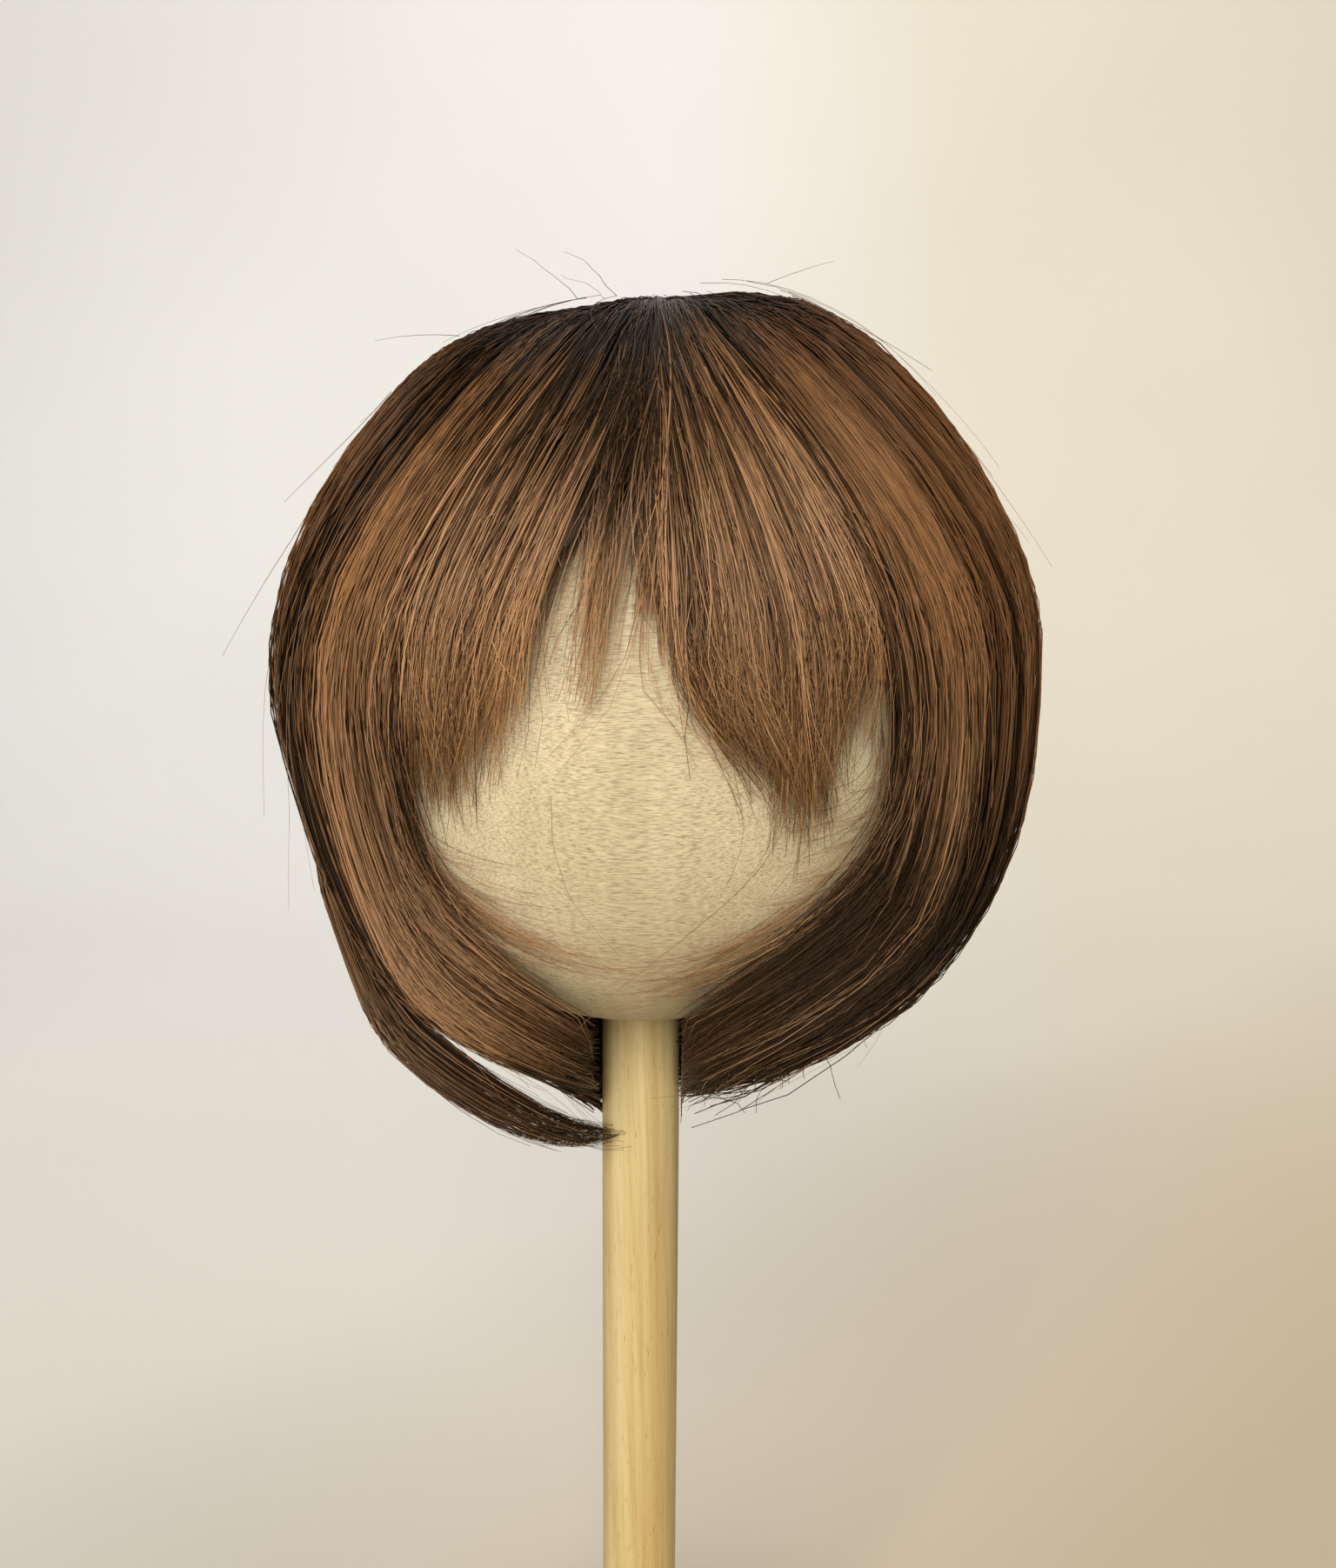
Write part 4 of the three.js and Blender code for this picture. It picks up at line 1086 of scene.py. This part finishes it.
dowel_low = FOOT_HEIGHT - FOOT_SOCKET_DEPTH
dowel_high = FOOT_HEIGHT + DOWEL_FREE_LENGTH + BALL_SOCKET_DEPTH
dowel_profile = [(0.0, dowel_low), (DOWEL_RADIUS, dowel_low), (DOWEL_RADIUS, dowel_high), (0.0, dowel_high)]
dowel_wood = dowel_material("dowel_wood", linear(204, 184, 134), linear(184, 158, 102))
finish_piece(turned("dowel", dowel_profile, steps=72), dowel_wood, "stand_dowel")

foot_edge = FOOT_RADIUS - FOOT_EDGE_ROUND
socket_floor = FOOT_HEIGHT - FOOT_SOCKET_DEPTH - SEAT_GAP
foot_profile = np.concatenate([
    [(0.0, 0.0)],
    arc(foot_edge, FOOT_EDGE_ROUND, FOOT_EDGE_ROUND, start=-90.0, stop=0.0, steps=10),
    arc(foot_edge, FOOT_HEIGHT - FOOT_EDGE_ROUND, FOOT_EDGE_ROUND, start=0.0, stop=90.0, steps=10),
    [(socket_radius, FOOT_HEIGHT), (socket_radius, socket_floor), (0.0, socket_floor)],
])
foot_wood = dowel_material("foot_wood", linear(224, 202, 154), linear(208, 182, 130))
finish_piece(turned("foot", foot_profile, steps=128), foot_wood, "stand_foot")

# The cap and its crown
cap_knit = cloth_material("cap_knit", linear(66, 46, 31), linear(34, 23, 15), stitches=1.6)
finish_piece(cap_wall(columns=80, rows=28), cap_knit, "wig_cap")

crown_seat = BALL_CENTRE[2] + CAP_OUTER_RADIUS + SEAT_GAP
dome = arc(0.0, 0.0, 1.0, start=0.0, stop=86.0, steps=12) * [CROWN_RADIUS, CROWN_DOME_HEIGHT]
crown_profile = np.concatenate([
    [(0.0, crown_seat), (CROWN_RADIUS, crown_seat)],
    dome + [0.0, crown_seat + CROWN_RIM_HEIGHT],
    [(0.0, crown_seat + CROWN_RIM_HEIGHT + CROWN_DOME_HEIGHT)],
])
crown = turned("crown", crown_profile, steps=48, axis_x=WHORL_OFFSET_X)
crown_cloth = cloth_material("crown_cloth", linear(206, 190, 168), linear(150, 126, 100), stitches=2.2)
finish_piece(crown, crown_cloth, "crown_disc")

# The hair
brown = hair_material()
packed = under_hair_material()
for number, panel in enumerate(HAIR_PANELS):
    hairs = strands(panel["name"] + "_hair", *combed_hair(panel, 100 + number), number)
    finish_piece(hairs, brown, panel["name"])
    finish_piece(under_hair(panel), packed, panel["name"])

# Locks and hairs apart from the panels: name, the solid they belong to, their paths, the seed of their turns
LOOSE_HAIRS = [
    ("loose_lock_hair", "back_left", loose_lock(count=420, points=16, seed=200), 9),
    ("notch_lock_hair", "fringe_left", notch_lock(count=80, points=12, seed=205), 15),
    ("wisps_left", "side_left", wisps(-1, count=170, points=11, seed=210), 12),
    ("wisps_right", "side_right", wisps(1, count=170, points=11, seed=211), 13),
    ("loose_ends", "back_right", loose_ends(count=60, points=9, seed=220), 14),
    ("flyaways_left", "back_left", flyaways(-1, count=70, points=11, seed=300), 10),
    ("flyaways_right", "back_right", flyaways(1, count=70, points=11, seed=301), 11),
]
for name, node, hairs, seed in LOOSE_HAIRS:
    finish_piece(strands(name, *hairs, seed), brown, node)

# The studio
sweep = studio_sweep()
sweep.data.materials.append(paper_material())

daylight = (1.0, 0.98, 0.95)
area_light("key", (-160.0, -715.0, 490.0), BALL_CENTRE, size=460.0, power=9.0, colour=daylight)
area_light("warm_top", (340.0, -240.0, 720.0), BALL_CENTRE, size=260.0, power=1.1, colour=(1.0, 0.86, 0.70))
area_light("wall_wash", (60.0, 260.0, 900.0), (120.0, 750.0, 340.0), size=700.0, power=4.8, colour=daylight)
world = bpy.data.worlds.new("soft_room")
bpy.context.scene.world = world
world.use_nodes = True
room = world.node_tree.nodes["Background"]
room.inputs["Color"].default_value = (1.0, 0.93, 0.84, 1.0)
room.inputs["Strength"].default_value = 0.10

# The camera, at the photo's angle: a little above the ball, close by, and leaning by under half a degree
CAMERA_PLACE = (2.61, -165.0, 173.4)
CAMERA_LOOKS_DOWN = 13.18
CAMERA_LEANS = 0.40
lens = bpy.data.cameras.new("camera")
lens.sensor_width = 36.0
lens.lens = 39.05
camera = bpy.data.objects.new("camera", lens)
camera.location = [amount * METRES for amount in CAMERA_PLACE]
camera.rotation_mode = "ZYX"
camera.rotation_euler = (math.radians(90.0 - CAMERA_LOOKS_DOWN), 0.0, math.radians(CAMERA_LEANS))
lens.clip_start = 0.01
lens.clip_end = 20.0
bpy.context.scene.collection.objects.link(camera)
bpy.context.scene.camera = camera
bpy.context.scene.view_settings.view_transform = "Standard"
bpy.context.scene.cycles.denoising_prefilter = "NONE"
